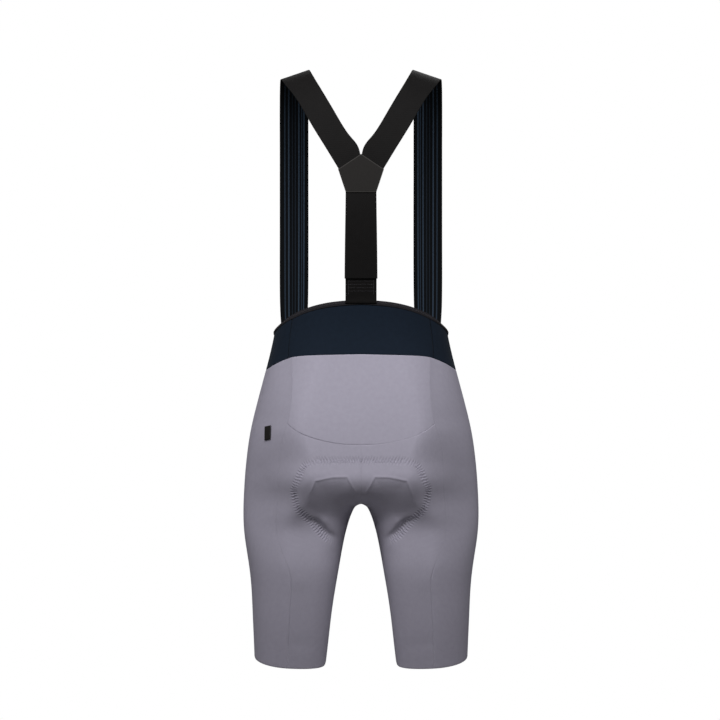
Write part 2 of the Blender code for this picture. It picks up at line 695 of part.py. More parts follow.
def make_spine(home):
    """The strap down the spine, and the tab on the waist that it is sewn onto."""
    face = spine_face(SPINE_STRAP, 13)
    outer = face + strap_normals(face) * ELASTIC
    wall("spine_strap", outer, face, "black_elastic", home)

    free = spine_face(SPINE_TAB, 6)
    x, z = free[-1, :, 0], np.array(SPINE_TAB_FOOT)[:, None]
    foot = cloth_point(np.copysign(share_round(z, np.abs(x)), x), z, (ELASTIC - KNIT) / 2 + SEAM)
    face = np.concatenate([free, foot])
    wall("spine_tab", face + strap_normals(face) * ELASTIC, face, "black_elastic", home)


def make_y_label(home):
    """The five-sided label over the joint of the Y: a flat outline with a thickness."""
    outline = [*Y_LABEL, *((-x, z) for x, z in Y_LABEL[:0:-1])]
    curve = bpy.data.curves.new("y_label", "CURVE")
    curve.dimensions = "2D"
    curve.fill_mode = "BOTH"
    curve.extrude = LABEL / 2
    line = curve.splines.new("POLY")
    line.points.add(len(outline) - 1)
    for point, (x, z) in zip(line.points, outline):
        point.co = (x, z, 0, 1)
    line.use_cyclic_u = True
    curve.materials.append(material("black_label"))
    made = bpy.data.objects.new("y_label", curve)
    made.rotation_euler = (math.pi / 2, 0, 0)
    made.location = (0, Y_LABEL_FACE - LABEL / 2, 0)
    home.objects.link(made)


def main():
    clear_scene()
    home = bpy.data.collections.new("bib_shorts")
    bpy.context.scene.collection.children.link(home)
    back_seam, band_seam, front_seam = seam(BACK_SEAM), seam(BAND_SEAM), seam(FRONT_SEAM, True)
    make_waist(home, band_seam, front_seam)
    yoke_heights = make_yoke(home, back_seam)
    seat_heights = make_seat(home, back_seam)
    front_heights = make_front(home, front_seam)
    back_heights = np.concatenate([yoke_heights, seat_heights[1:]])
    make_sides(home, back_seam, front_seam, band_seam, back_heights, front_heights)
    make_hip_label(home)
    make_pad(home)
    make_straps(home)
    make_spine(home)
    make_y_label(home)


main()
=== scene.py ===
import math

import bpy
import numpy as np
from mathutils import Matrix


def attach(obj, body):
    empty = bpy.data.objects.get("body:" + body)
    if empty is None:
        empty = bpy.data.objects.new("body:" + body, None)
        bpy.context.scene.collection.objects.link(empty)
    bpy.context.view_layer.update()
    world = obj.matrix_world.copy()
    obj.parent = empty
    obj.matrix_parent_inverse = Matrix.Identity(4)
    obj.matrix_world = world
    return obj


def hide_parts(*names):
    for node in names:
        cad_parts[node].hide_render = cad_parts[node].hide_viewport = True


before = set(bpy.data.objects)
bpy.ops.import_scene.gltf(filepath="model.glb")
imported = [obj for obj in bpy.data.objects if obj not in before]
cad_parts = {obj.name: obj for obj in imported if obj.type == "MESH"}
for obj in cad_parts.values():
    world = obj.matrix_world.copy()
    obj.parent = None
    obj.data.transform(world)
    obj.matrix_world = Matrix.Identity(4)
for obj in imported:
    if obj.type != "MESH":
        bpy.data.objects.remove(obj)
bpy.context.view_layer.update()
bpy.ops.object.select_all(action="DESELECT")
print("frame loaded:", len(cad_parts), "nodes")

# The form that the shorts take when worn, in metres. +X is the wearer's right, -Y the back.
bodyForm = {
    # Each ring is level: z, half width over both legs, front, depth of the widest point
    "rings": (
        (-0.930, 0.1645, 0.0735, 0.0120),
        (-0.879, 0.1665, 0.0800, 0.0130),
        (-0.837, 0.1680, 0.0860, 0.0140),
        (-0.795, 0.1705, 0.0925, 0.0155),
        (-0.753, 0.1755, 0.0995, 0.0170),
        (-0.711, 0.1812, 0.1065, 0.0190),
        (-0.663, 0.1830, 0.1150, 0.0210),
        (-0.628, 0.1815, 0.1210, 0.0225),
        (-0.586, 0.1770, 0.1270, 0.0240),
        (-0.544, 0.1705, 0.1310, 0.0250),
        (-0.502, 0.1604, 0.1345, 0.0260),
        (-0.460, 0.1490, 0.1375, 0.0270),
        (-0.418, 0.1390, 0.1390, 0.0275),
        (-0.376, 0.1315, 0.1380, 0.0275),
        (-0.330, 0.1290, 0.1350, 0.0270),
    ),
    # The back: z, its depth, and how far it slants in from the buttock to the hip
    "backs": (
        (-0.930, -0.0503, 0.00), (-0.900, -0.0555, 0.00), (-0.840, -0.0658, 0.01), (-0.790, -0.0735, 0.05),
        (-0.760, -0.0762, 0.09), (-0.738, -0.0758, 0.15), (-0.715, -0.0742, 0.23), (-0.700, -0.0742, 0.29),
        (-0.680, -0.0800, 0.385), (-0.660, -0.0910, 0.455), (-0.640, -0.1030, 0.475), (-0.624, -0.1088, 0.46),
        (-0.605, -0.1080, 0.425), (-0.586, -0.1052, 0.37), (-0.544, -0.0965, 0.30), (-0.502, -0.0848, 0.19),
        (-0.460, -0.0722, 0.11), (-0.418, -0.0605, 0.07), (-0.376, -0.0555, 0.04), (-0.330, -0.0580, 0.02),
    ),
    # heights between which the slant starts further in, and by what share of the tube's reach
    "hollow": ((-0.545, -0.600), (-0.640, -0.690), 0.26),
    "square": 4.3,  # how square the inner side of each leg is: 2 is round
    "crotchZ": -0.663,
    "rise": 0.13567,  # height over which the two leg tubes melt into one trunk
    "soften": 0.010,  # height over which the tubes' middles stop drawing together
    "trunkFrom": 0.115,  # height over the crotch from which the two tubes' middles run together
    "trunkRise": 0.200,
    "trunkShare": 0.85,
    "bridge": 0.062,  # height over the crotch at which the knit spans straight between them
    "arch": 0.0120,  # squared half gap between the legs for each metre below the crotch
    "fillet": 0.006,  # rounding of the valley between the tubes at the crotch
    "trunkFillet": 0.034,  # the same rounding higher up, where it flattens the trunk
    "filletRise": 0.090,
    "knit": 0.0012,
    "seamGap": 0.00006,
}
levelPasses = 8  # rounds in which a seam and a level line settle on their meeting point

# Seams as height and distance from the middle plane
seamLines = {
    "band": ((-0.470, 0.1120), (-0.436, 0.1125), (-0.400, 0.1090), (-0.376, 0.1055), (-0.340, 0.1035)),
    "back": (
        (-0.930, 0.1125), (-0.907, 0.1118), (-0.843, 0.1090), (-0.800, 0.1065), (-0.772, 0.1070),
        (-0.748, 0.1145), (-0.722, 0.1250), (-0.690, 0.1300), (-0.647, 0.1265), (-0.594, 0.1240),
        (-0.563, 0.1195), (-0.538, 0.1120), (-0.505, 0.1065), (-0.430, 0.1070),
    ),
    "front": (
        (-0.930, 0.1080), (-0.850, 0.1060), (-0.780, 0.1080), (-0.700, 0.1180),
        (-0.620, 0.1220), (-0.540, 0.1150), (-0.460, 0.1000), (-0.400, 0.0920),
    ),
}


def smoothRead(at, places, values):
    # a natural cubic spline, with straight runs past its ends
    places, values = np.array(places, float), np.array(values, float)
    order = np.argsort(places)
    places, values = places[order], values[order]
    steps, slopes = np.diff(places), np.diff(values) / np.diff(places)
    matrix, right = np.eye(len(places)), np.zeros(len(places))
    for i in range(1, len(places) - 1):
        matrix[i, i - 1:i + 2] = steps[i - 1], 2 * (steps[i - 1] + steps[i]), steps[i]
        right[i] = 6 * (slopes[i] - slopes[i - 1])
    bend = np.linalg.solve(matrix, right)
    at = np.asarray(at, float)
    i = np.clip(np.searchsorted(places, at) - 1, 0, len(steps) - 1)
    inside = np.clip(at, places[0], places[-1])
    a, b, h = places[i + 1] - inside, inside - places[i], steps[i]
    curve = (bend[i] * a**3 + bend[i + 1] * b**3) / (6 * h)
    curve += (values[i] / h - bend[i] * h / 6) * a + (values[i + 1] / h - bend[i + 1] * h / 6) * b
    return curve + (at - inside) * np.where(at < places[0], slopes[0], slopes[-1])


def ease(t):
    t = np.clip(t, 0, 1)
    return t * t * (3 - 2 * t)


def easeFrom(value, start, over):
    return ease((value - start) / over)


def even(cells):
    return np.linspace(0, 1, cells + 1)


ringColumns, backColumns = np.array(bodyForm["rings"]).T, np.array(bodyForm["backs"]).T


def ringAt(z):
    # the valley's rounding, then the middle, the inner end and the outer reach of the right
    # tube along x, the share of the tube that shows towards the valley, the depth of the
    # widest point, back, front, slant, and how much further in the slant starts
    form = bodyForm
    half, front, side = (smoothRead(z, ringColumns[0], column) for column in ringColumns[1:])
    back, slant = (smoothRead(z, backColumns[0], column) for column in backColumns[1:])
    above = np.asarray(z, float) - form["crotchZ"]
    fillet = form["fillet"] + (form["trunkFillet"] - form["fillet"]) * ease(above / form["filletRise"])
    outer = np.hypot(half, fillet)
    inner = np.where(above > 0, fillet, np.sqrt(form["fillet"] ** 2 + form["arch"] * np.maximum(-above, 0)))
    softDrop = (np.hypot(above, form["soften"]) - above) / 2
    gap = np.sqrt(form["fillet"] ** 2 + form["arch"] * softDrop)
    toTrunk = ease((above - form["trunkFrom"]) / form["trunkRise"])
    centre = (outer + gap) / 2
    centre = centre + (fillet - centre) * toTrunk * form["trunkShare"]
    valley = np.clip(1 - above / form["rise"], 0, 1) ** 1.5 * (1 - ease(above / form["bridge"]))
    (first, full), (last, gone), most = form["hollow"]
    lead = most * ease((first - z) / (first - full)) * (1 - ease((last - z) / (last - gone)))
    return fillet, centre, inner, outer - centre, valley, side, side - back, front - side, slant, lead


def slanted(slant, lead, across):
    # the body runs nearly straight from the buttock to the hip
    outer = np.maximum(across + lead, 0) / (1 + lead)
    return 1 - slant * outer**2 * (3 - 2 * outer)


def ringPoint(ring, angle):
    fillet, centre, inner, reach, valley, side, back, front, slant, lead = ring
    across = np.cos(angle)
    past = centre + across * np.where(across > 0, reach, centre - inner)
    x = np.sqrt(np.maximum(past**2 - fillet**2, 0))
    power = np.where(across > 0, 2, bodyForm["square"])
    across, width = np.broadcast_arrays(across, np.where(across > 0, 1, valley))
    bulge = np.maximum(1 - np.abs(width * across) ** power, 0) ** (1 / power)
    return x, side + bulge * np.where(angle < 0, -back * slanted(slant, lead, across), front)


def acrossTube(ring, x):
    # -1 at the valley, 0 at the tube's middle, 1 at its outer side
    fillet, centre, inner, reach = ring[:4]
    past = np.hypot(x, fillet) - centre
    return past / np.where(past > 0, reach, centre - inner)


def levelOf(p):
    # 1 on the shorts' outer face, less inside
    ring = ringAt(p[..., 2])
    valley, side, back, front, slant, lead = ring[4:]
    across = acrossTube(ring, p[..., 0])
    power = np.where(across > 0, 2, bodyForm["square"])
    depth = np.where(p[..., 1] < side, back * slanted(slant, lead, across), front)
    wide, deep = np.where(across > 0, 1, valley) * across, (p[..., 1] - side) / depth
    return (np.abs(wide) ** power + np.abs(deep) ** power) ** (2 / power)


def outward(points):
    step = 1e-5
    slope = [levelOf(points + step * axis) - levelOf(points - step * axis) for axis in np.eye(3)]
    normal = np.stack(slope, axis=-1)
    return normal / np.linalg.norm(normal, axis=-1, keepdims=True)


# A table of the body's rings. Its rows crowd at the crotch, where the cloth runs level.
ringTable = {
    "foot": -0.935, "top": -0.33, "rowsBelow": 330, "rowsAbove": 370,
    "shares": 240, "angles": 401,
    "blend": 0.012,  # height over which rings are blended, so that columns do not jump where the legs part
}


def crotchDepth(z):
    above = np.asarray(z, float) - bodyForm["crotchZ"]
    return np.sign(above) * np.sqrt(np.abs(above))


tableDepth = np.concatenate([
    np.linspace(crotchDepth(ringTable["foot"]), 0, ringTable["rowsBelow"])[:-1],
    np.linspace(0, crotchDepth(ringTable["top"]), ringTable["rowsAbove"]),
])
tableShare, tableZ = even(ringTable["shares"]), bodyForm["crotchZ"] + np.sign(tableDepth) * tableDepth**2
tableRings = [part[:, None] for part in ringAt(tableZ)]
ringTurn = np.linspace(-math.pi / 2, math.pi / 2, ringTable["angles"])
ringAngle = np.repeat(math.pi * np.sin(ringTurn)[None], len(tableDepth), axis=0)
ringX, ringY = ringPoint(tableRings, ringAngle)
ringLength = np.zeros(ringAngle.shape)
ringLength[:, 1:] = np.cumsum(np.hypot(np.diff(ringX), np.diff(ringY)), axis=1)
angleTable = np.array([np.interp(tableShare * l[-1], l, a) for l, a in zip(ringLength, ringAngle)])
nearby = np.exp(-(((tableZ[:, None] - tableZ) / ringTable["blend"]) ** 2)) * np.abs(np.gradient(tableZ))
angleTable = nearby @ angleTable / nearby.sum(axis=1, keepdims=True)


def readTable(table, row, column):
    # a value between the four nearest of a table
    i = np.minimum(row.astype(int), table.shape[0] - 2)
    j = np.minimum(column.astype(int), table.shape[1] - 2)
    a, b = row - i, column - j
    low = table[i, j] * (1 - b) + table[i, j + 1] * b
    high = table[i + 1, j] * (1 - b) + table[i + 1, j + 1] * b
    return low * (1 - a) + high * a


def bodyPoint(u, z):
    # share u of the way round from the centre back to the centre front, minus on the left
    u, z = np.broadcast_arrays(np.asarray(u, float), np.asarray(z, float))
    row = np.interp(crotchDepth(z), tableDepth, np.arange(len(tableDepth)))
    column = np.clip(np.abs(u), 0, 1) * (len(tableShare) - 1)
    x, y = ringPoint(ringAt(z), readTable(angleTable, row, column))
    return np.stack([np.where(u < 0, -x, x), y, z], axis=-1)


def shareAt(z, x, front=False):
    # the share at which the ring at height z lies x from the middle plane
    wanted = float(np.arccos(np.clip(acrossTube(ringAt(z), x), -1, 1)))
    row = int(np.interp(crotchDepth(z), tableDepth, np.arange(len(tableDepth))))
    row = min(row, len(tableDepth) - 2)
    part = (crotchDepth(z) - tableDepth[row]) / (tableDepth[row + 1] - tableDepth[row])
    angles = angleTable[row] * (1 - part) + angleTable[row + 1] * part
    return np.interp(wanted if front else -wanted, angles, tableShare)


def seamShare(name):
    places, offsets = zip(*seamLines[name])
    x = smoothRead(tableZ, places, offsets)
    shares = np.array([shareAt(z, d, name == "front") for z, d in zip(tableZ, x)])
    return lambda z: np.interp(crotchDepth(z), tableDepth, shares)


def gapShare(z):
    whole = np.interp(crotchDepth(z), tableDepth, ringLength[:, -1])
    return bodyForm["seamGap"] / 2 / whole


bandSeam, backSeam, frontSeam = seamShare("band"), seamShare("back"), seamShare("front")

# Level lines as share round and height, and the hem
levelLines = {
    "waistTop": (
        (0.00, -0.3495), (0.14, -0.3540), (0.24, -0.3630), (0.33, -0.3765),
        (0.40, -0.3890), (0.47, -0.3965), (0.60, -0.4040), (0.80, -0.4150), (1.00, -0.4200),
    ),
    "bandFoot": (
        (0.00, -0.4328), (0.18, -0.4345), (0.29, -0.4385), (0.35, -0.4450),
        (0.42, -0.4535), (0.49, -0.4580), (0.62, -0.4640), (0.80, -0.4710), (1.00, -0.4750),
    ),
    "bindingBack": 0.0075,
    "bindingSide": 0.0050,
    "bindingTurn": (0.28, 0.10),  # share round at which the binding begins to narrow, and over how much
    "bandTuck": 0.0012,  # how far the band runs up inside the binding
    "yokeMiddle": -0.570,
    "yokeCorner": -0.538,
    "hemZ": -0.902,
    "hemDip": 0.0102,
    "hemInnerDip": 0.0045,
}


def waistTop(u):
    return smoothRead(np.abs(u), *zip(*levelLines["waistTop"]))


def bandFoot(u):
    return smoothRead(np.abs(u), *zip(*levelLines["bandFoot"]))


def bindingWidth(u):
    back, side = levelLines["bindingBack"], levelLines["bindingSide"]
    return back + (side - back) * easeFrom(np.abs(u), *levelLines["bindingTurn"])


def bandTop(u):
    return waistTop(u) - bindingWidth(u) + levelLines["bandTuck"]


def hemLine(u):
    turn = 2 * math.pi * np.abs(u)
    dip = levelLines["hemDip"] * np.sin(turn) + levelLines["hemInnerDip"] * (1 + np.cos(turn)) / 2
    return levelLines["hemZ"] - dip


# The pad. Its stations fan round an axis along X: 0 degrees is level at the back and 90 is
# straight down. Each gives the pad's half width, measured round the cloth, and its foam.
padForm = {
    "axisY": 0.015,
    "axisZ": -0.553,
    "stations": (
        (16.0, 0.0660, 0.0030), (18.0, 0.0800, 0.0040), (21.0, 0.0900, 0.0050), (25.0, 0.0970, 0.0065),
        (31.0, 0.1040, 0.0085), (38.0, 0.1104, 0.0100), (44.0, 0.1095, 0.0105), (49.0, 0.1062, 0.0105),
        (55.0, 0.0955, 0.0100), (62.0, 0.0858, 0.0100), (72.0, 0.0762, 0.0090), (81.0, 0.0695, 0.0085),
        (90.0, 0.0640, 0.0080), (102.0, 0.0600, 0.0075), (116.0, 0.0605, 0.0070), (132.0, 0.0600, 0.0060),
        (146.0, 0.0560, 0.0045), (154.0, 0.0440, 0.0030),
    ),
    "fan": (5.0, 171.0),
    "reach": (0.02, 0.22),  # the cloth lies between these distances from the axis
    "walkStep": 0.001,
    "walkSteps": 175,
    "gridStep": 0.0005,
    "gridWidth": 0.1701,
    "outlineSteps": 700,
}


def fanPoint(degrees, x, r):
    turn = np.radians(degrees)
    y = padForm["axisY"] - np.cos(turn) * r
    z = padForm["axisZ"] - np.sin(turn) * r
    return np.stack(np.broadcast_arrays(x, y, z), axis=-1)


def walkPadPlanes():
    # from the middle plane outwards along the cloth, in every plane of the fan at once
    degrees = np.arange(*padForm["fan"])
    low, high = (np.full(degrees.shape, reach) for reach in padForm["reach"])
    for _ in range(40):
        middle = (low + high) / 2
        inside = levelOf(fanPoint(degrees, 0.0, middle)) < 1
        low, high = np.where(inside, middle, low), np.where(inside, high, middle)
    x, r, tiny = np.zeros(degrees.shape), low, 1e-6
    xs, rs = [x], [r]
    for _ in range(padForm["walkSteps"]):
        slopeX, slopeR = (
            (levelOf(fanPoint(degrees, x + a, r + b)) - levelOf(fanPoint(degrees, x - a, r - b))) / (2 * tiny)
            for a, b in ((tiny, 0), (0, tiny))
        )
        steep = np.hypot(slopeX, slopeR)
        x, r = x + padForm["walkStep"] * slopeR / steep, r - padForm["walkStep"] * slopeX / steep
        off = (levelOf(fanPoint(degrees, x, r)) - 1) / steep
        x, r = x - off * slopeX / steep, r - off * slopeR / steep
        xs.append(x)
        rs.append(r)
    return degrees, np.array(xs).T, np.array(rs).T


fanDegrees, fanX, fanR = walkPadPlanes()
fanWalk = np.arange(padForm["walkSteps"] + 1) * padForm["walkStep"]
fanGridX = np.arange(0, padForm["gridWidth"], padForm["gridStep"])
fanGridWalk = np.array([np.interp(fanGridX, np.maximum.accumulate(row), fanWalk) for row in fanX])
print("body form ready")


def padPlace(points):
    # the fan's angle, and how far the cloth runs from the middle plane to each point
    y, z = points[..., 1] - padForm["axisY"], points[..., 2] - padForm["axisZ"]
    degrees = np.degrees(np.arctan2(-z, -y))
    row = np.clip(degrees - fanDegrees[0], 0, len(fanDegrees) - 1.001)
    column = np.clip(np.abs(points[..., 0]) / padForm["gridStep"], 0, len(fanGridX) - 1.001)
    return degrees, readTable(fanGridWalk, row, column)


# The zigzag that holds the pad, and what the pad does to the knit over it
padSewing = {
    "inset": 0.0060,  # the zigzag's middle, inside the pad's edge
    "band": 0.0150,  # width of the puckers across the zigzag
    "bandSoft": 0.45,  # share of half that width over which they rise
    "pitch": 0.0045,  # from one pucker to the next
    "pucker": 0.00080,
    "slips": 61,  # how often the puckers slip, lean and vary, in radians for a metre of the edge
    "leans": 43,
    "varies": 143,
    "stagger": 1.5,  # how far the outer ends stand off from the inner ones, in radians
    "lean": 0.3,
    "topLean": 2.5,
    "footLean": 3.0,
    "liftFrom": 0.0120,  # distance inside the edge at which the foam begins to lift the knit
    "frontLift": 0.0024,
    "topLift": 0.0010,
    "lowLift": 0.0044,
    "ramp": 0.0075,  # width over which it lifts, along the lower edge
    "softRamp": 0.0260,  # and elsewhere
    "lowFrom": -0.671,  # height at which the lower edge begins, and over how much
    "lowOver": 0.022,
    "lowSide": (0.068, 0.024),  # distance from the middle at which it ends, and over how much
    "creaseAt": 0.002,  # the crease's place inside the edge, and how far it moves in lower down
    "creaseShift": 0.0110,
    "creaseDepth": 0.0040,
    "creaseWidth": 0.0080,
    "creaseFrom": (0.022, 0.025),
    "topFrom": (-0.622, 0.018),  # along the top the puckers are soft and uneven
    "footFrom": (-0.655, 0.020),  # along the foot they slant
    "turn": 0.040,  # depth over which the back turns into the front
    "groove": 0.0004,
    "grooveHalf": 0.35,  # as a share of half the band
    "near": 0.05,  # cloth further than this from the edge is left out of the sums
    "flattened": (-0.50, 0.45, 0.022, 0.030),  # where the edge crosses the inside of the thigh
}

# The two seat cushions: a swelling that ends in a ledge, and a hollow face under the ledge
cushionForm = {
    "outline": (
        (-0.0500, -0.6660), (0.0000, -0.6520), (0.0100, -0.6400), (0.0218, -0.6195), (0.0431, -0.6200),
        (0.0683, -0.6250), (0.0773, -0.6487), (0.0790, -0.6650), (0.0760, -0.6900), (0.0700, -0.7500),
        (-0.0500, -0.7500),
    ),
    # the swelling: its height, the heights between which it grows and fades, and its side
    "swell": 0.0012,
    "swellTop": -0.588,
    "swellFull": -0.624,
    "swellFade": -0.640,
    "swellFoot": -0.700,
    "swellSide": (0.068, 0.098),
    # the ledge: a lip and a step down, which run out down the cushion's sides
    "crisp": (-0.655, 0.022),
    "lip": 0.0005,
    "lipAt": -0.0016,
    "lipWidth": 0.0018,
    "step": 0.0004,
    "stepWidth": 0.0028,
    "ledgeFrom": (0.004, 0.006),
    # the hollow face under the ledge
    "hollow": 0.0030,
    "hollowReach": 0.0200,
    "hollowFade": (-0.680, -0.702),
    "hollowFrom": (0.002, 0.010),
    "edgeSoft": (0.0008, 0.0050),
}


def cushionRelief(x, z):
    form = cushionForm
    swell = form["swell"] * ease((form["swellTop"] - z) / (form["swellTop"] - form["swellFull"]))
    swell *= 1 - ease((form["swellFade"] - z) / (form["swellFade"] - form["swellFoot"]))
    inner, outer = form["swellSide"]
    swell *= 1 - ease((x - inner) / (outer - inner))
    depth = depthInside(x, z, form["outline"])
    crisp = easeFrom(z, *form["crisp"])
    ledge = form["lip"] * np.exp(-(((depth - form["lipAt"]) / form["lipWidth"]) ** 2))
    ledge = ledge - form["step"] * ease(depth / form["stepWidth"] + 0.5)
    least, more = form["edgeSoft"]
    under = (np.hypot(depth, least + more * (1 - crisp)) + depth) / 2
    top, foot = form["hollowFade"]
    hollow = form["hollow"] * (1 - np.exp(-under / form["hollowReach"]))
    hollow = hollow * (1 - ease((top - z) / (top - foot))) * easeFrom(x, *form["hollowFrom"])
    return swell + ledge * crisp * easeFrom(x, *form["ledgeFrom"]) - hollow


def padOutline():
    # the pad's edge as angle in the fan and walk from the middle, from the back to the front
    table = np.array(padForm["stations"])
    degrees = np.linspace(table[0, 0], table[-1, 0], 600)
    half = smoothRead(degrees, table[:, 0], table[:, 1])
    back = np.linspace(0, half[0], 60)[:-1]
    front = np.linspace(half[-1], 0, 60)[1:]
    angle = np.concatenate([np.full(back.shape, degrees[0]), degrees, np.full(front.shape, degrees[-1])])
    return angle, np.concatenate([back, half, front])


outlineAngle, outlineWalk = padOutline()


def padSpot(degrees, walk):
    # a point of the body's face from its place in the fan
    row = np.clip(degrees - fanDegrees[0], 0, len(fanDegrees) - 1.001)
    column = np.clip(walk / padForm["walkStep"], 0, padForm["walkSteps"] - 0.001)
    return fanPoint(degrees, readTable(fanX, row, column), readTable(fanR, row, column))


outlinePoints = padSpot(outlineAngle, outlineWalk)
outlineLength = np.concatenate([[0], np.cumsum(np.linalg.norm(np.diff(outlinePoints, axis=0), axis=1))])
evenLength = np.linspace(0, outlineLength[-1], padForm["outlineSteps"])
outlinePoints = np.stack([np.interp(evenLength, outlineLength, part) for part in outlinePoints.T], axis=-1)


def nearOutline(points):
    # how far each point lies inside the pad's edge, and where along the edge
    folded = points.copy()
    folded[..., 0] = np.abs(folded[..., 0])
    flat = folded.reshape(-1, 3)
    distance, along = np.full(len(flat), 1.0), np.zeros(len(flat))
    degrees, walk = padPlace(points)
    table = np.array(padForm["stations"])
    half = smoothRead(np.clip(degrees, table[0, 0], table[-1, 0]), table[:, 0], table[:, 1])
    inside = (walk < half) & (degrees > table[0, 0]) & (degrees < table[-1, 0])
    close = np.nonzero((np.abs(walk - half) < padSewing["near"]).reshape(-1) | inside.reshape(-1))[0]
    for some in np.array_split(close, len(close) // 4000 + 1):
        apart = np.linalg.norm(flat[some][:, None] - outlinePoints[None], axis=-1)
        nearest = apart.argmin(axis=1)
        distance[some] = apart[np.arange(len(some)), nearest]
        # the place along the edge, between the nearest two of its points
        before, after = np.maximum(nearest - 1, 0), np.minimum(nearest + 1, len(outlinePoints) - 1)
        run = outlinePoints[after] - outlinePoints[before]
        step = (flat[some] - outlinePoints[before]) * run
        share = step.sum(-1) / np.maximum((run**2).sum(-1), 1e-12)
        along[some] = evenLength[before] + share * (evenLength[after] - evenLength[before])
        side = flat[some] - outlinePoints[before] - share[:, None] * run
        distance[some] = np.linalg.norm(side, axis=-1)
    signed = np.where(inside.reshape(-1), distance, -distance)
    return signed.reshape(inside.shape), along.reshape(inside.shape)


def depthInside(x, z, outline):
    corners = np.array(outline)
    inside, nearest = np.zeros(x.shape, bool), np.full(x.shape, np.inf)
    for (ax, az), (bx, bz) in zip(corners, np.roll(corners, -1, axis=0)):
        run, climb = bx - ax, bz - az
        t = np.clip(((x - ax) * run + (z - az) * climb) / (run**2 + climb**2), 0, 1)
        nearest = np.minimum(nearest, np.hypot(x - ax - t * run, z - az - t * climb))
        crosses = (az > z) != (bz > z)
        inside ^= crosses & (x < ax + (z - az) * run / (climb if climb else 1e-12))
    return np.where(inside, nearest, -nearest)


# Soft folds of the knit: side, from x and z to x and z, half width and height in metres
softFolds = {
    "back": (
        (0.016, -0.700, 0.060, -0.760, 0.012, -0.0006), (0.118, -0.735, 0.090, -0.800, 0.014, 0.0007),
        (0.140, -0.640, 0.165, -0.600, 0.012, -0.0005), (-0.120, -0.725, -0.094, -0.792, 0.015, 0.0007),
        (-0.145, -0.655, -0.168, -0.612, 0.012, -0.0005), (-0.018, -0.705, -0.055, -0.770, 0.013, -0.0006),
        (0.060, -0.880, 0.120, -0.872, 0.010, -0.0004), (-0.075, -0.884, -0.130, -0.874, 0.010, -0.0004),
    ),
    "front": (
        (0.012, -0.640, 0.075, -0.600, 0.010, -0.0012), (0.020, -0.668, 0.090, -0.650, 0.010, -0.0010),
        (-0.014, -0.634, -0.080, -0.590, 0.011, -0.0012), (-0.018, -0.664, -0.085, -0.640, 0.010, -0.0010),
        (0.040, -0.480, 0.090, -0.500, 0.012, 0.0006), (-0.030, -0.486, -0.085, -0.498, 0.012, 0.0006),
        (0.100, -0.560, 0.150, -0.600, 0.014, 0.0006), (-0.104, -0.550, -0.150, -0.594, 0.014, 0.0006),
        (0.070, -0.868, 0.140, -0.880, 0.010, -0.0004), (-0.062, -0.872, -0.128, -0.880, 0.010, -0.0004),
    ),
}


def foldRelief(points):
    total = np.zeros(points.shape[:-1])
    side = ringAt(points[..., 2])[5]
    for face, folds in softFolds.items():
        ahead = points[..., 1] - side
        towards = ease((-ahead if face == "back" else ahead) / 0.03)
        for ax, az, bx, bz, width, height in folds:
            run, climb = bx - ax, bz - az
            t = ((points[..., 0] - ax) * run + (points[..., 2] - az) * climb) / (run**2 + climb**2)
            off = np.hypot(points[..., 0] - ax - t * run, points[..., 2] - az - t * climb)
            along = ease(t / 0.35) * ease((1 - t) / 0.35)
            total += height * along * np.exp(-((off / width) ** 2)) * towards
    return total


def slowWave(points):
    # slow unevenness of stretched cloth, half a millimetre at most
    x, y, z = points[..., 0], points[..., 1], points[..., 2]
    wave = np.sin(31 * x + 17 * z + 1.3) * np.sin(23 * z - 19 * y) + np.sin(47 * z + 29 * x * z + 0.4)
    return 0.00025 * wave


# The side panel and the side band turn away at their seam with the yoke
sideTurnForm = {
    "drop": 0.0032, "start": 0.012, "fade": 0.035,
    "foot": (-0.556, 0.030), "top": (-0.445, 0.045), "turn": 0.02,
}


def sideTurn(points):
    form, z = sideTurnForm, points[..., 2]
    beyond = np.maximum(np.abs(points[..., 0]) - smoothRead(z, *zip(*seamLines["back"])), 0)
    drop = (1 - np.exp(-beyond / form["start"])) * np.exp(-beyond / form["fade"])
    drop *= easeFrom(z, *form["foot"]) * (1 - easeFrom(z, *form["top"]))
    return -form["drop"] * drop * ease((ringAt(z)[5] - points[..., 1]) / form["turn"])


def seamFade(points):
    # the pad flattens out where it crosses the inside of the thigh
    start, over, above, height = padSewing["flattened"]
    ring = ringAt(points[..., 2])
    inner = ease((start - acrossTube(ring, np.abs(points[..., 0]))) / over)
    return 1 - inner * ease((bodyForm["crotchZ"] + above - points[..., 2]) / height)


def isBehind(points):
    # 1 on the back of the body, 0 on its front
    return ease((ringAt(points[..., 2])[5] - points[..., 1]) / padSewing["turn"])


def padRelief(points, inside):
    # how far the pad, its seat cushions and the fold under the buttock move the cloth
    sewing = padSewing
    x, z = np.abs(points[..., 0]), points[..., 2]
    behind = isBehind(points)
    low = ease((sewing["lowFrom"] - z) / sewing["lowOver"]) * (1 - easeFrom(x, *sewing["lowSide"]))
    height = sewing["frontLift"] * (1 - behind)
    height = height + behind * (sewing["topLift"] + (sewing["lowLift"] - sewing["topLift"]) * low)
    ramp = sewing["softRamp"] + (sewing["ramp"] - sewing["softRamp"]) * low * behind
    lift = height * ease((inside - sewing["liftFrom"]) / ramp)
    # the buttock folds under along the pad's lower edge
    off = inside - sewing["creaseAt"] - sewing["creaseShift"] * low
    crease = sewing["creaseDepth"] * low * behind * np.exp(-((off / sewing["creaseWidth"]) ** 2))
    crease = crease * easeFrom(x, *sewing["creaseFrom"])
    return cushionRelief(x, z) * behind + (lift - crease) * seamFade(points)


def plainRelief(points):
    # the cloth's own folds and turns, which the band has too
    return foldRelief(points) + slowWave(points) + sideTurn(points)


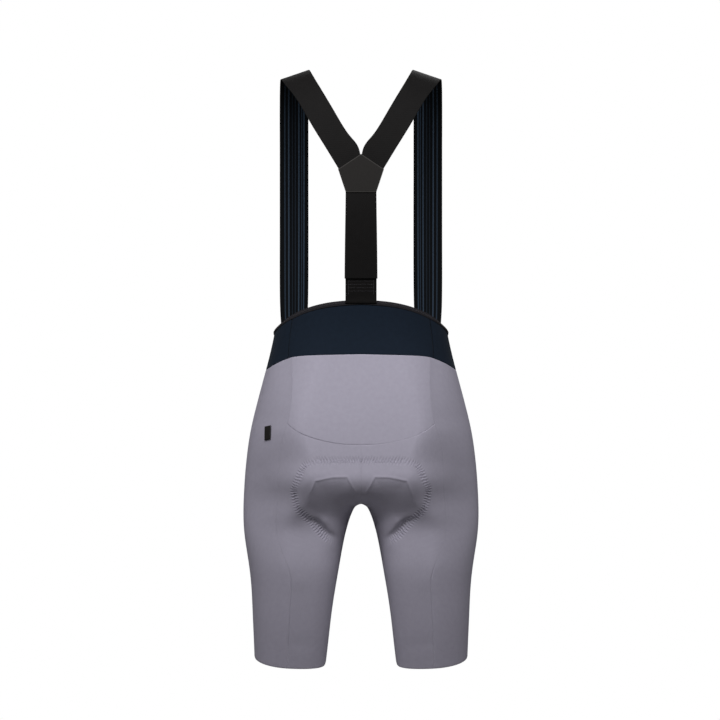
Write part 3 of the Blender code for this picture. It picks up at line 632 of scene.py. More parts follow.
def relief(points):
    # how far the knit stands from the plain form
    sewing = padSewing
    inside, along = nearOutline(points)
    offBand = (inside - sewing["inset"]) / (sewing["band"] / 2)
    window = ease((1 - np.abs(offBand)) / sewing["bandSoft"]) * seamFade(points)
    z, behind = points[..., 2], isBehind(points)
    top = easeFrom(z, *sewing["topFrom"]) * behind
    start, over = sewing["footFrom"]
    foot = ease((start - z) / over) * behind
    strength = 1 - 0.2 * top
    slip = 0.9 * (1 + top) * np.sin(along * sewing["slips"]) + sewing["stagger"] * np.tanh(5 * offBand)
    lean = sewing["lean"] + sewing["topLean"] * top * np.sin(along * sewing["leans"])
    lean = lean - sewing["footLean"] * foot
    wave = np.cos(2 * math.pi * along / sewing["pitch"] + slip + lean * offBand)
    height = sewing["pucker"] * (0.8 + 0.2 * np.sin(along * sewing["varies"])) * strength
    groove = sewing["groove"] * np.exp(-((offBand / sewing["grooveHalf"]) ** 2)) * strength
    pucker = (height * (wave - 0.35) - groove) * window
    return padRelief(points, inside) + pucker + plainRelief(points)


def meshPiece(name, points, faces, *looks):
    # a smooth piece with its finishes
    mesh = bpy.data.meshes.new(name)
    mesh.from_pydata(points.reshape(-1, 3).tolist(), [], faces.tolist())
    for look in looks:
        mesh.materials.append(look)
    mesh.shade_smooth()
    made = bpy.data.objects.new(name, mesh)
    bpy.context.scene.collection.objects.link(made)
    return made


def addCloth(name, outer, inner, uv, *looks):
    # a grid of the outer face, a grid of the inner face, which may have a finish of its own, and a rim
    count = outer.shape[0] * outer.shape[1]
    index = np.arange(count).reshape(outer.shape[:2])
    left, right = index[:, :-1], index[:, 1:]
    front = np.stack([left[:-1], left[1:], right[1:], right[:-1]], axis=-1).reshape(-1, 4)
    back = count + np.stack([left[:-1], right[:-1], right[1:], left[1:]], axis=-1).reshape(-1, 4)
    a, b = index[:, 0], index[:, -1]
    rims = [
        np.stack([left[0], right[0], count + right[0], count + left[0]], axis=-1),
        np.stack([left[-1], count + left[-1], count + right[-1], right[-1]], axis=-1),
        np.stack([a[:-1], count + a[:-1], count + a[1:], a[1:]], axis=-1),
        np.stack([b[:-1], b[1:], count + b[1:], count + b[:-1]], axis=-1),
    ]
    faces = np.concatenate([front, back, *rims])
    made = meshPiece(name, np.concatenate([outer, inner]), faces, *looks)
    mesh, cells = made.data, len(front)
    corner = np.empty(len(mesh.loops), np.int32)
    mesh.loops.foreach_get("vertex_index", corner)
    laid = np.tile(uv.reshape(-1, 2), (2, 1))[corner]
    mesh.uv_layers.new(name="cloth").data.foreach_set("uv", laid.astype(np.float32).ravel())
    slots = np.zeros(len(faces), np.int32)
    slots[cells:2 * cells] = len(looks) - 1
    mesh.polygons.foreach_set("material_index", slots)
    # the rims stay flat, so that they do not shade the faces beside them
    mesh.polygons.foreach_set("use_smooth", np.arange(len(faces)) < 2 * cells)
    mesh.update()
    return made


def gridLengths(points):
    # the cloth's own measures along the rows and down the columns
    across = np.zeros(points.shape[:2])
    down = np.zeros(points.shape[:2])
    across[:, 1:] = np.cumsum(np.linalg.norm(np.diff(points, axis=1), axis=-1), axis=1)
    down[1:] = np.cumsum(np.linalg.norm(np.diff(points, axis=0), axis=-1), axis=0)
    return across, down


# How deep the cloth bends down at its edges and seams
seamRoll = {
    "width": 0.0018,
    "edge": 0.00030,  # where the knit meets the band, and at the hems
    "flat": 0.00004,  # along seams that hardly show
    "shown": 0.00040,
    "deep": 0.00060,  # at the band's upright seams
    "inner": 0.25,  # share of it that the inner face follows
    "near": (0.0005, 0.0011, 0.0020),  # extra rows and columns this far from an edge
    "clear": 1.3,
}


def edgeRoll(across, down, depths):
    # cloth bends down into its seams and rolls at its edges: left, right, top, foot
    gaps = [across, across[:, -1:] - across, down, down[-1:] - down]
    rolls = [depth * (1 - ease(gap / seamRoll["width"])) for depth, gap in zip(depths, gaps)]
    return np.maximum.reduce(rolls)


def clothPanel(name, u, z, look, depths=(seamRoll["shown"],) * 4, raised=True, middle=False):
    base = bodyPoint(u, z)
    normal = outward(base)
    height = relief(base) if raised else plainRelief(base)
    across, down = gridLengths(base)
    roll = edgeRoll(across, down, depths)
    outer = base + normal * (height - roll)[..., None]
    inner = base + normal * (height - bodyForm["knit"] + seamRoll["inner"] * roll)[..., None]
    if middle:
        for layer in (outer, inner):
            layer[..., 0] = np.maximum(layer[..., 0], bodyForm["seamGap"] / 2)
    return addCloth(name, outer, inner, np.stack([across - across[:, -1:] / 2, -down], axis=-1), look)


def mirrored(source, name):
    mesh = source.data.copy()
    mesh.name = name
    places = np.empty(len(mesh.vertices) * 3, np.float32)
    mesh.vertices.foreach_get("co", places)
    places[0::3] *= -1
    mesh.vertices.foreach_set("co", places)
    mesh.flip_normals()
    made = bpy.data.objects.new(name, mesh)
    bpy.context.scene.collection.objects.link(made)
    return made


def withEdges(cells, length, near=seamRoll["near"]):
    # even columns, with a few close to both edges for the roll
    spots = [d / length for d in near]
    inner, margin = even(cells), spots[-1] * seamRoll["clear"]
    inner = inner[(inner > margin) & (inner < 1 - margin)]
    return np.concatenate([[0], spots, inner, [1 - s for s in reversed(spots)], [1]])


def evenHeights(side, top, foot, shares):
    high, low = float(top(0.5)), float(foot(0.5))
    for _ in range(levelPasses):
        high = float(top(side(high))) - bodyForm["seamGap"] / 2
        low = float(foot(side(low))) + bodyForm["seamGap"] / 2
    return high + (low - high) * shares


def stripGrid(left, right, top, foot, down, across):
    # between two seams and two level lines; down holds the heights at both seams
    flat = down[0][:, None] + (down[1] - down[0])[:, None] * across
    share = (down[0] - down[0][0]) / (down[0][-1] - down[0][0])
    first, last = flat[0], flat[-1]
    for _ in range(levelPasses):
        u = left(first) + gapShare(first) + (right(first) - left(first) - 2 * gapShare(first)) * across
        first = top(u) - bodyForm["seamGap"] / 2
        u = left(last) + gapShare(last) + (right(last) - left(last) - 2 * gapShare(last)) * across
        last = foot(u) + bodyForm["seamGap"] / 2
    z = flat + (first - flat[0]) * (1 - share[:, None]) + (last - flat[-1]) * share[:, None]
    inset = gapShare(z)
    low, high = left(z) + inset, right(z) - inset
    return low + (high - low) * across, z


# Materials
def linear(code):
    parts = [int(code[i:i + 2], 16) / 255 for i in (1, 3, 5)]
    return [p / 12.92 if p <= 0.04045 else ((p + 0.055) / 1.055) ** 2.4 for p in parts] + [1.0]


def addNode(tree, kind, settings=(), links=()):
    # settings: names or sockets with values; links: own socket with another node's socket
    node = tree.nodes.new(kind)
    for key, value in dict(settings).items():
        if isinstance(key, str) and hasattr(node, key) and key not in node.inputs:
            setattr(node, key, value)
        else:
            node.inputs[key].default_value = value
    for key, source in dict(links).items():
        tree.links.new(source, node.inputs[key])
    return node


def newMaterial(name, roughness, specular=0.5, sheen=0.0):
    made = bpy.data.materials.new(name)
    made.use_nodes = True
    shader = made.node_tree.nodes["Principled BSDF"]
    shader.inputs["Roughness"].default_value = roughness
    shader.inputs["Specular IOR Level"].default_value = specular
    shader.inputs["Sheen Weight"].default_value = sheen
    return made, made.node_tree


def bandScale(spacing):
    # the scale at which a pattern of even bands is spaced so many metres apart
    return math.pi / 10 / spacing


def colourAndBump(made, look, share, height, strength):
    # from the dark to the light colour by one pattern, and raised by another
    tree = made.node_tree
    shader = tree.nodes["Principled BSDF"]
    ends = {"data_type": "RGBA", 6: linear(look["dark"]), 7: linear(look["light"])}
    colour = addNode(tree, "ShaderNodeMix", ends, {0: share})
    bump = addNode(tree, "ShaderNodeBump", {"Strength": strength, "Distance": bumpDepth}, {"Height": height})
    tree.links.new(colour.outputs[2], shader.inputs["Base Color"])
    tree.links.new(bump.outputs[0], shader.inputs["Normal"])
    return made


bumpDepth = 0.0003
finishes = {
    "knit": {
        "light": "#A5A1B0", "dark": "#9995A4", "wale": 0.0016, "course": 0.0013, "bump": 0.25, "gloss": 0.25,
    },
    "navy": {
        "light": "#17212E", "dark": "#121A25", "wale": 0.0016, "course": 0.0013, "bump": 0.20, "gloss": 0.08,
    },
    "elastic": {
        "light": "#1C1B1B", "dark": "#131212", "rib": 0.0021, "twill": 0.0018, "bump": 0.35, "gloss": 0.05,
    },
    "binding": {
        "light": "#2B292D", "dark": "#1F1E22", "rib": 0.0017, "twill": 0.0018, "bump": 0.35, "gloss": 0.12,
    },
    "stripe": {"ground": "#080A0D", "line": "#33404F", "middle": "#283340", "faint": "#1B232C"},
    "label": {"light": "#262423", "dark": "#21201F"},
    # the label's rim: lighter than the label, a painted highlight of its bevelled edge
    "labelRimPaintedHighlight": {"light": "#3C3A39", "dark": "#343231"},
    "foam": {"light": "#5B5F68", "dark": "#4B4F58"},
    "greyThread": {"light": "#B4B0C0", "dark": "#A6A2B2"},
    "navyThread": {"light": "#0C0F14", "dark": "#080A0E"},
    "charcoalThread": {"light": "#4A484C", "dark": "#3A383C"},
    "floor": {"light": "#F4F4F4", "dark": "#F1F1F1"},
}


def knitMaterial(name, look):
    # polyamide and elastane warp knit: matt, with wales down the cloth and faint unevenness.
    # Real wales are 0.4 mm apart; they are drawn four times as coarse, so that they show.
    made, tree = newMaterial(name, 0.80, look["gloss"], 0.03)
    place = {"Vector": addNode(tree, "ShaderNodeUVMap", {"uv_map": "cloth"}).outputs[0]}
    down = {"bands_direction": "X", "Scale": bandScale(look["wale"]), "Distortion": 0.4, "Detail": 1.0}
    wale = addNode(tree, "ShaderNodeTexWave", down, place)
    across = {"bands_direction": "Y", "Scale": bandScale(look["course"]), "Distortion": 0.6, "Detail": 1.0}
    course = addNode(tree, "ShaderNodeTexWave", across, place)
    both = {0: wale.outputs["Fac"], 1: course.outputs["Fac"]}
    loops = addNode(tree, "ShaderNodeMath", {"operation": "MULTIPLY"}, both)
    cloudy = addNode(tree, "ShaderNodeTexNoise", {"Scale": 140.0, "Detail": 3.0, "Roughness": 0.6}, place)
    amount = addNode(tree, "ShaderNodeMath", {"operation": "MULTIPLY", 1: 0.45}, {0: loops.outputs[0]})
    both = {0: amount.outputs[0], 1: cloudy.outputs["Fac"]}
    total = addNode(tree, "ShaderNodeMath", {"operation": "ADD", "use_clamp": True}, both)
    return colourAndBump(made, look, total.outputs[0], loops.outputs[0], look["bump"])


def elasticMaterial(name, look):
    # woven elastic: fine cords along the strap, crossed by a tight twill, with a soft gleam.
    # Real cords are under a millimetre apart, and are drawn coarser so that they show.
    made, tree = newMaterial(name, 0.66, look["gloss"])
    place = {"Vector": addNode(tree, "ShaderNodeUVMap", {"uv_map": "cloth"}).outputs[0]}
    along = {"bands_direction": "X", "Scale": bandScale(look["rib"]), "Distortion": 0.2}
    cord = addNode(tree, "ShaderNodeTexWave", along, place)
    slanting = {"bands_direction": "DIAGONAL", "Scale": bandScale(look["twill"]), "Distortion": 0.5}
    twill = addNode(tree, "ShaderNodeTexWave", slanting, place)
    both = {0: cord.outputs["Fac"], 1: twill.outputs["Fac"]}
    weave = addNode(tree, "ShaderNodeMath", {"operation": "MULTIPLY"}, both)
    cloudy = addNode(tree, "ShaderNodeTexNoise", {"Scale": 90.0, "Detail": 3.0}, place)
    both = {0: weave.outputs[0], 1: cloudy.outputs["Fac"]}
    blend = addNode(tree, "ShaderNodeMath", {"operation": "ADD", "use_clamp": True}, both)
    share = addNode(tree, "ShaderNodeMath", {"operation": "MULTIPLY", 1: 0.6}, {0: blend.outputs[0]})
    return colourAndBump(made, look, share.outputs[0], weave.outputs[0], look["bump"])


# Stripes woven into the elastic's inner face, as shares of its width from the edge by the neck
stripePlan = {
    "ramp": (
        (0.000, "ground"), (0.125, "ground"), (0.148, "line"), (0.163, "line"), (0.190, "ground"),
        (0.210, "ground"), (0.230, "middle"), (0.242, "middle"), (0.262, "ground"),
        (0.302, "ground"), (0.326, "line"), (0.346, "line"), (0.370, "ground"),
        (0.430, "ground"), (0.450, "faint"), (0.470, "faint"), (0.490, "ground"),
        (0.540, "ground"), (0.558, "faint"), (0.572, "faint"), (0.590, "ground"),
        (0.658, "ground"), (0.682, "line"), (0.700, "line"), (0.724, "ground"),
        (0.795, "ground"), (0.818, "middle"), (0.836, "middle"), (0.860, "ground"),
    ),
    "width": 0.0465,
    "picks": 0.0016,
    "bump": 0.3,
}


def stripedMaterial(name, look, plan):
    # the inner face of the straps: black elastic with navy and blue-grey warp stripes
    made, tree = newMaterial(name, 0.75, 0.08)
    shader = tree.nodes["Principled BSDF"]
    place = addNode(tree, "ShaderNodeUVMap", {"uv_map": "cloth"})
    parts = addNode(tree, "ShaderNodeSeparateXYZ", {}, {0: place.outputs[0]})
    share = addNode(tree, "ShaderNodeMath", {"operation": "DIVIDE", 1: plan["width"]}, {0: parts.outputs[0]})
    middle = addNode(tree, "ShaderNodeMath", {"operation": "ADD", 1: 0.5}, {0: share.outputs[0]})
    ramp = addNode(tree, "ShaderNodeValToRGB", {}, {0: middle.outputs[0]})
    stops = ramp.color_ramp.elements
    while len(stops) > 1:
        stops.remove(stops[-1])
    for i, (at, colour) in enumerate(plan["ramp"]):
        stop = stops[0] if i == 0 else stops.new(at)
        stop.position = at
        stop.color = linear(look[colour])
    across = {"bands_direction": "Y", "Scale": bandScale(plan["picks"]), "Distortion": 0.3}
    picks = addNode(tree, "ShaderNodeTexWave", across, {"Vector": place.outputs[0]})
    strength = {"Strength": plan["bump"], "Distance": bumpDepth}
    bump = addNode(tree, "ShaderNodeBump", strength, {"Height": picks.outputs["Fac"]})
    tree.links.new(ramp.outputs[0], shader.inputs["Base Color"])
    tree.links.new(bump.outputs[0], shader.inputs["Normal"])
    return made


def plainMaterial(name, look, roughness, grain=300.0, bumpStrength=0.2):
    # smooth pressed cloth with a faint grain
    made, tree = newMaterial(name, roughness, 0.10)
    place = addNode(tree, "ShaderNodeTexCoord")
    settings = {"Scale": grain, "Detail": 4.0}
    noise = addNode(tree, "ShaderNodeTexNoise", settings, {"Vector": place.outputs["Object"]}).outputs["Fac"]
    return colourAndBump(made, look, noise, noise, bumpStrength)


greyKnit = knitMaterial("greyMauveWarpKnit", finishes["knit"])
navyKnit = knitMaterial("navyWarpKnit", finishes["navy"])
blackElastic = elasticMaterial("blackWovenElastic", finishes["elastic"])
stripedElastic = stripedMaterial("stripedElasticInside", finishes["stripe"], stripePlan)
blackBinding = elasticMaterial("foldedElasticBinding", finishes["binding"])
labelCloth = plainMaterial("pressedBlackLabel", finishes["label"], 0.60)
# the label's rim colour is a painted highlight where its edge bevels
labelRimPaintedHighlight = plainMaterial("paintedHighlightLabelRim", finishes["labelRimPaintedHighlight"], 0.50)
foamCover = plainMaterial("brushedFoamCover", finishes["foam"], 0.9, 900.0)
greyThread = plainMaterial("greyPolyesterThread", finishes["greyThread"], 0.6)
navyThread = plainMaterial("navyPolyesterThread", finishes["navyThread"], 0.6)
charcoalThread = plainMaterial("charcoalPolyesterThread", finishes["charcoalThread"], 0.55)
print("materials ready")


def settle(piece, nodes):
    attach(piece, "root")
    if nodes:
        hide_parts(*nodes)


# The binding: one elastic strip folded over the waist's top edge
waistBindingPlan = {
    "thickness": 0.0021, "columns": 420, "profile": 18, "proud": 0.0006,
    "bluntDown": 0.55, "bluntOut": 0.45,  # how square the folded strip's section is: 1 is round
    "lastStep": 0.0005,
}


def makeBinding():
    plan = waistBindingPlan
    turn = np.linspace(-1, 1, plan["columns"] + 1)[:-1]
    spots = np.linspace(0, 2 * math.pi, plan["profile"] + 1)[:-1]
    # a flat loop with round ends: share down the width, and out from the knit's middle
    cos, sin = np.cos(spots), np.sin(spots)
    down = 0.5 - 0.5 * np.sign(cos) * np.abs(cos) ** plan["bluntDown"]
    out = np.sign(sin) * np.abs(sin) ** plan["bluntOut"] * plan["thickness"] / 2
    u = np.repeat(turn[None, :], len(spots), axis=0)
    z = waistTop(u) - bindingWidth(u) * down[:, None]
    base = bodyPoint(u, z)
    places = base + outward(base) * (out[:, None] + plan["proud"] - bodyForm["knit"] / 2)[..., None]
    rows, cells = places.shape[:2]
    index = np.arange(rows * cells).reshape(rows, cells)
    over, nextIndex = np.roll(index, -1, axis=0), np.roll(index, -1, axis=1)
    across = np.roll(over, -1, axis=1)
    faces = np.stack([index, over, across, nextIndex], axis=-1).reshape(-1, 4)
    made = meshPiece("waistBinding", places, faces, blackBinding)
    # v runs on along the strip, and u round the profile, so the ribs follow the waist
    girth = np.concatenate([[0], np.cumsum(np.abs(np.diff(down)))]) * levelLines["bindingBack"]
    gap = np.append(girth, girth[-1] + plan["lastStep"])
    step = gridLengths(places)[0][:, 1].mean()
    uv = np.empty((rows, cells, 4, 2), np.float32)
    for corner, (i, j) in enumerate(((0, 0), (1, 0), (1, 1), (0, 1))):
        uv[:, :, corner, 0] = gap[i:rows + i, None]
        uv[:, :, corner, 1] = (np.arange(cells) + j)[None, :] * step
    made.data.uv_layers.new(name="cloth").data.foreach_set("uv", uv.ravel())
    return made


binding = makeBinding()
settle(binding, ["waist_binding"])
print("binding made")

# The navy band in four pieces
bandPlan = {
    "rows": 34, "height": 0.075,
    "backCells": 110, "sideCells": 70, "frontCells": 100,
    "backWidth": 0.225, "sideWidth": 0.150, "frontWidth": 0.205,
}


def makeBand():
    plan = bandPlan
    seams = (seamRoll["deep"], seamRoll["deep"], seamRoll["edge"], seamRoll["edge"])
    down = withEdges(plan["rows"], plan["height"])
    atBack = evenHeights(bandSeam, bandTop, bandFoot, down)
    atFront = evenHeights(frontSeam, bandTop, bandFoot, down)
    across = withEdges(plan["backCells"], plan["backWidth"])
    u, z = stripGrid(lambda h: -bandSeam(h), bandSeam, bandTop, bandFoot, (atBack, atBack), across)
    back = clothPanel("backBand", u, z, navyKnit, seams, raised=False)
    across = withEdges(plan["sideCells"], plan["sideWidth"])
    u, z = stripGrid(bandSeam, frontSeam, bandTop, bandFoot, (atBack, atFront), across)
    right = clothPanel("sideBandRight", u, z, navyKnit, seams, raised=False)
    left = mirrored(right, "sideBandLeft")
    # the front band's own share runs from the centre front: minus on the right
    across = withEdges(plan["frontCells"], plan["frontWidth"])
    w, z = stripGrid(
        lambda h: frontSeam(h) - 1, lambda h: 1 - frontSeam(h), lambda s: bandTop(1 - np.abs(s)),
        lambda s: bandFoot(1 - np.abs(s)), (atFront, atFront), across,
    )
    front = clothPanel("frontBand", np.copysign(1 - np.abs(w), -w), z, navyKnit, seams, raised=False)
    return back, right, left, front


backBand, sideBandRight, sideBandLeft, frontBand = makeBand()
settle(backBand, ["back_band"])
settle(sideBandRight, ["side_band_right"])
settle(sideBandLeft, ["side_band_left"])
settle(frontBand, ["front_band"])
print("navy band made")

# The grey yoke over the small of the back
yokePlan = {
    "rows": 90, "cells": 150, "width": 0.225, "height": 0.120,
    "shownHalf": 0.018, "cornerFrom": (0.094, 0.010),
}


def yokeFootRoll(u, z):
    # the yoke's foot hardly shows but for a short line in the middle and its corners
    x = np.abs(bodyPoint(u, z)[..., 0])
    shown = np.exp(-((x / yokePlan["shownHalf"]) ** 4)) + 0.25 * easeFrom(x, *yokePlan["cornerFrom"])
    return seamRoll["flat"] + (seamRoll["shown"] - seamRoll["flat"]) * shown


def backSeamRoll(z):
    # the line down the back of the leg shows best below the buttock
    start, over = legPlan["seamShows"]
    return (seamRoll["flat"] + (seamRoll["shown"] - seamRoll["flat"]) * ease((start - z) / over))[:, None]


def makeYoke():
    lines, roll = levelLines, seamRoll
    across = 2 * withEdges(yokePlan["cells"], yokePlan["width"])[None, :] - 1
    down = withEdges(yokePlan["rows"], yokePlan["height"])[:, None]
    foot = lines["yokeMiddle"] + (lines["yokeCorner"] - lines["yokeMiddle"]) * across**2 - bodyForm["seamGap"]
    z = np.full((down.shape[0], across.shape[1]), (lines["yokeCorner"] + float(bandFoot(0))) / 2)
    for _ in range(levelPasses):
        u = across * (backSeam(z) - gapShare(z))
        top = bandFoot(u) - bodyForm["seamGap"] / 2
        z = top + (foot - top) * down
    depths = (roll["flat"], roll["flat"], roll["edge"], yokeFootRoll(u[-1], z[-1]))
    return clothPanel("backYoke", u, z, greyKnit, depths)


backYoke = makeYoke()
settle(backYoke, ["back_yoke"])
print("yoke made")

# The seat, the front and the sides
legPlan = {
    # rows above the crotch, down to the ring's foot, and to the hem; they crowd at the crotch
    "seatRows": (165, 62, 50), "seatCells": 160, "seatCrowd": 2.8,
    "frontRows": (130, 60, 55), "frontCells": 96, "frontCrowd": 2.8,
    "sideRows": 190, "sideCells": 52, "width": 0.150, "sideWidth": 0.180, "sideHeight": 0.470, "trunk": 0.18,
    "bandRows": 25,  # rows over which a front's top bends to the band's foot
    "frontTop": -0.470,
    "seamShows": (-0.742, 0.030),  # height below which the line down the leg shows, and over how much
    "ringFoot": -0.728,  # below this the inseam has no pad sewing, and its rows are further apart
}


def legRows(topInner, topOuter, hemOuter, rows, crowd):
    crotch, fine, hem = bodyForm["crotchZ"], legPlan["ringFoot"], levelLines["hemZ"]
    above = crotch + (topInner - crotch) * (1 - withEdges(rows[0], legPlan["trunk"])[:-4]) ** crowd
    below = crotch + (fine - crotch) * even(rows[1]) * (0.12 + 0.88 * even(rows[1])) ** 0.6
    last = fine + (hem - fine) * withEdges(rows[2], abs(hem - fine))[4:]
    inner = np.concatenate([above, below, last])
    return inner, topOuter + (hemOuter - topOuter) * even(len(inner) - 1)


def legGrid(rows, sideShare, cells, lowEdge, top=None):
    across = withEdges(cells, legPlan["width"])[None, :]
    inner, outer = rows[0][:, None], rows[1][:, None]
    crotch, hem = bodyForm["crotchZ"], levelLines["hemZ"]
    toHem = ease((crotch - inner) / (crotch - hem) * 1.15 - 0.15)
    fanned = inner + (outer - inner) * across**2
    last = fanned[-1]
    for _ in range(levelPasses):
        uHem = gapShare(last) + (sideShare(last) - 2 * gapShare(last)) * across[0]
        last = lowEdge(uHem)
    z = fanned + (inner + lowEdge(uHem)[None, :] - hem - fanned) * toHem
    if top is not None:
        first = z[0]
        for _ in range(levelPasses):
            uTop = gapShare(first) + (sideShare(first) - 2 * gapShare(first)) * across[0]
            first = top(uTop)
        fade = (1 - ease(np.arange(len(z)) / legPlan["bandRows"]))[:, None]
        z = z + (first - z[0])[None, :] * fade
    inset = gapShare(z)
    return inset + (sideShare(z) - 2 * inset) * across, z


def makeSeat():
    lines, gap = levelLines, bodyForm["seamGap"] / 2
    topInner, topOuter = lines["yokeMiddle"] - gap, lines["yokeCorner"] - gap
    hemOuter = lines["hemZ"] - lines["hemDip"]
    rows = legRows(topInner, topOuter, hemOuter, legPlan["seatRows"], legPlan["seatCrowd"])
    u, z = legGrid(rows, backSeam, legPlan["seatCells"], hemLine)
    roll = (seamRoll["flat"] * 1.5, backSeamRoll(z[:, -1]), yokeFootRoll(u[0], z[0]), seamRoll["edge"])
    return clothPanel("seatRight", u, z, greyKnit, roll, middle=True)


def makeFront():
    lines, gap = levelLines, bodyForm["seamGap"] / 2
    topInner = float(bandFoot(1.0)) - gap
    topOuter = float(bandFoot(frontSeam(legPlan["frontTop"]))) - gap
    hemOuter = lines["hemZ"] + lines["hemDip"]
    rows = legRows(topInner, topOuter, hemOuter, legPlan["frontRows"], legPlan["frontCrowd"])
    w, z = legGrid(
        rows, lambda h: 1 - frontSeam(h), legPlan["frontCells"], lambda s: hemLine(1 - s),
        lambda s: bandFoot(1 - s) - gap,
    )
    return clothPanel("frontRight", (1 - w)[:, ::-1], z[:, ::-1], greyKnit, middle=True)


def makeSide():
    def foot(share):
        return hemLine(share) - bodyForm["seamGap"] / 2

    down = withEdges(legPlan["sideRows"], legPlan["sideHeight"])
    across = withEdges(legPlan["sideCells"], legPlan["sideWidth"])
    atBack = evenHeights(backSeam, bandFoot, foot, down)
    atFront = evenHeights(frontSeam, bandFoot, foot, down)
    u, z = stripGrid(backSeam, frontSeam, bandFoot, foot, (atBack, atFront), across)
    roll = (backSeamRoll(z[:, 0]), seamRoll["flat"], seamRoll["edge"], seamRoll["edge"])
    return clothPanel("sideRight", u, z, greyKnit, roll)


seatRight = makeSeat()
seatLeft = mirrored(seatRight, "seatLeft")
print("seat made")
frontRight = makeFront()
frontLeft = mirrored(frontRight, "frontLeft")
print("fronts made")
sideRight = makeSide()
sideLeft = mirrored(sideRight, "sideLeft")
print("sides made")
for piece, node, cut, area in (
    (seatRight, "seat_right", (0.190, 0.390), 0.0474), (seatLeft, "seat_left", (0.190, 0.390), 0.0474),
    (frontRight, "front_right", (0.170, 0.440), 0.0537), (frontLeft, "front_left", (0.170, 0.440), 0.0537),
    (sideRight, "side_right", (0.235, 0.475), 0.0961), (sideLeft, "side_left", (0.235, 0.475), 0.0961),
):
    settle(piece, [node])

# The pad, on the knit's inner face
padPlan = {
    "rows": 150, "columns": 101, "clear": 0.0012, "edge": 0.0015, "least": 0.0012,
    "channel": 0.0030, "channelHalf": 0.010,
    "rib": 0.0012, "ribHalf": 0.0028, "ribAt": 0.45,
    "fullness": 1.05, "riseFrom": (0.006, 0.012), "round": 0.9, "mapRadius": 0.12,
}


def makePad():
    plan = padPlan
    table = np.array(padForm["stations"])
    turn = np.linspace(table[0, 0], table[-1, 0], plan["rows"])
    half = smoothRead(turn, table[:, 0], table[:, 1])
    full = smoothRead(turn, table[:, 0], table[:, 2])
    across = np.linspace(-1, 1, plan["columns"])
    across = np.sign(across) * np.sin(np.abs(across) * math.pi / 2) ** plan["round"]
    walk = half[:, None] * across
    face = padSpot(np.repeat(turn[:, None], plan["columns"], axis=1), np.abs(walk))
    face[..., 0] *= np.sign(walk)
    normal = outward(face)
    inside = nearOutline(face)[0]
    rise = easeFrom(inside, *plan["riseFrom"])
    thickness = plan["edge"] + (full[:, None] * plan["fullness"] - plan["edge"]) * rise
    thickness -= plan["channel"] * np.exp(-((walk / plan["channelHalf"]) ** 2)) * rise
    # moulded grooves that let the foam bend
    off = (np.abs(walk) - plan["ribAt"] * half[:, None]) / plan["ribHalf"]
    thickness -= plan["rib"] * np.exp(-(off**2)) * rise
    thickness = np.maximum(thickness, plan["least"])
    outer = face + normal * (padRelief(face, inside) - bodyForm["knit"] - plan["clear"])[..., None]
    outer = outer + normal * foldRelief(face)[..., None]
    inner = outer - normal * thickness[..., None]
    down = -np.radians(turn)[:, None] * plan["mapRadius"]
    uv = np.stack([walk, np.repeat(down, plan["columns"], axis=1)], axis=-1)
    return addCloth("seatPad", outer, inner, uv, foamCover)


seatPad = makePad()
settle(seatPad, ["pad"])
print("pad made")

# The straps: one wide elastic on each side, from the front band over the shoulder to the Y.
# Rows give the inner and the outer edge of the face towards the body.
strapPlan = {
    "edges": (
        ((0.0868, 0.1140, -0.3920), (0.1256, 0.0885, -0.3920)),
        ((0.0850, 0.1160, -0.3700), (0.1275, 0.0960, -0.3700)),
        ((0.0838, 0.1175, -0.3300), (0.1288, 0.1015, -0.3300)),
        ((0.0836, 0.1185, -0.2700), (0.1290, 0.1050, -0.2700)),
        ((0.0836, 0.1180, -0.2100), (0.1290, 0.1060, -0.2100)),
        ((0.0836, 0.1130, -0.1500), (0.1289, 0.1020, -0.1510)),
        ((0.0834, 0.1020, -0.0990), (0.1286, 0.0920, -0.1030)),
        ((0.0831, 0.0850, -0.0560), (0.1282, 0.0760, -0.0630)),
        ((0.0826, 0.0650, -0.0250), (0.1275, 0.0570, -0.0350)),
        ((0.0818, 0.0430, -0.0055), (0.1266, 0.0360, -0.0180)),
        ((0.0810, 0.0210, 0.0045), (0.1256, 0.0160, -0.0105)),
        ((0.0798, 0.0000, 0.0070), (0.1240, -0.0035, -0.0085)),
        ((0.0768, -0.0190, 0.0015), (0.1192, -0.0205, -0.0150)),
        ((0.0702, -0.0360, -0.0110), (0.1095, -0.0365, -0.0275)),
        ((0.0594, -0.0520, -0.0300), (0.0960, -0.0530, -0.0470)),
        ((0.0399, -0.0690, -0.0640), (0.0765, -0.0690, -0.0815)),
        ((0.0177, -0.0785, -0.1000), (0.0550, -0.0780, -0.1170)),
        ((0.0014, -0.0822, -0.1277), (0.0345, -0.0822, -0.1510)),
        ((0.0004, -0.0828, -0.1500), (0.0262, -0.0828, -0.1640)),
        ((0.0004, -0.0832, -0.1712), (0.0205, -0.0832, -0.1712)),
    ),
    "thickness": 0.0015, "rows": 240, "cells": 26, "width": 0.045,
    "footZ": -0.452, "footInner": 0.0890, "footOuter": 0.1215, "footRows": 24,
    "footShare": 0.72,  # share round the waist at which the foot crosses its top edge
    "lift": 0.00105,  # how far the foot's inner face stands off the knit
    "cord": 0.00012, "cordPitch": 0.0031,
    "rollWidth": 0.0009, "rollShare": 0.42,
    "near": (0.0003, 0.0007),
}


def gridNormals(face):
    down, across = np.gradient(face, axis=0), np.gradient(face, axis=1)
    normal = np.cross(down, across)
    return normal / np.linalg.norm(normal, axis=-1, keepdims=True)


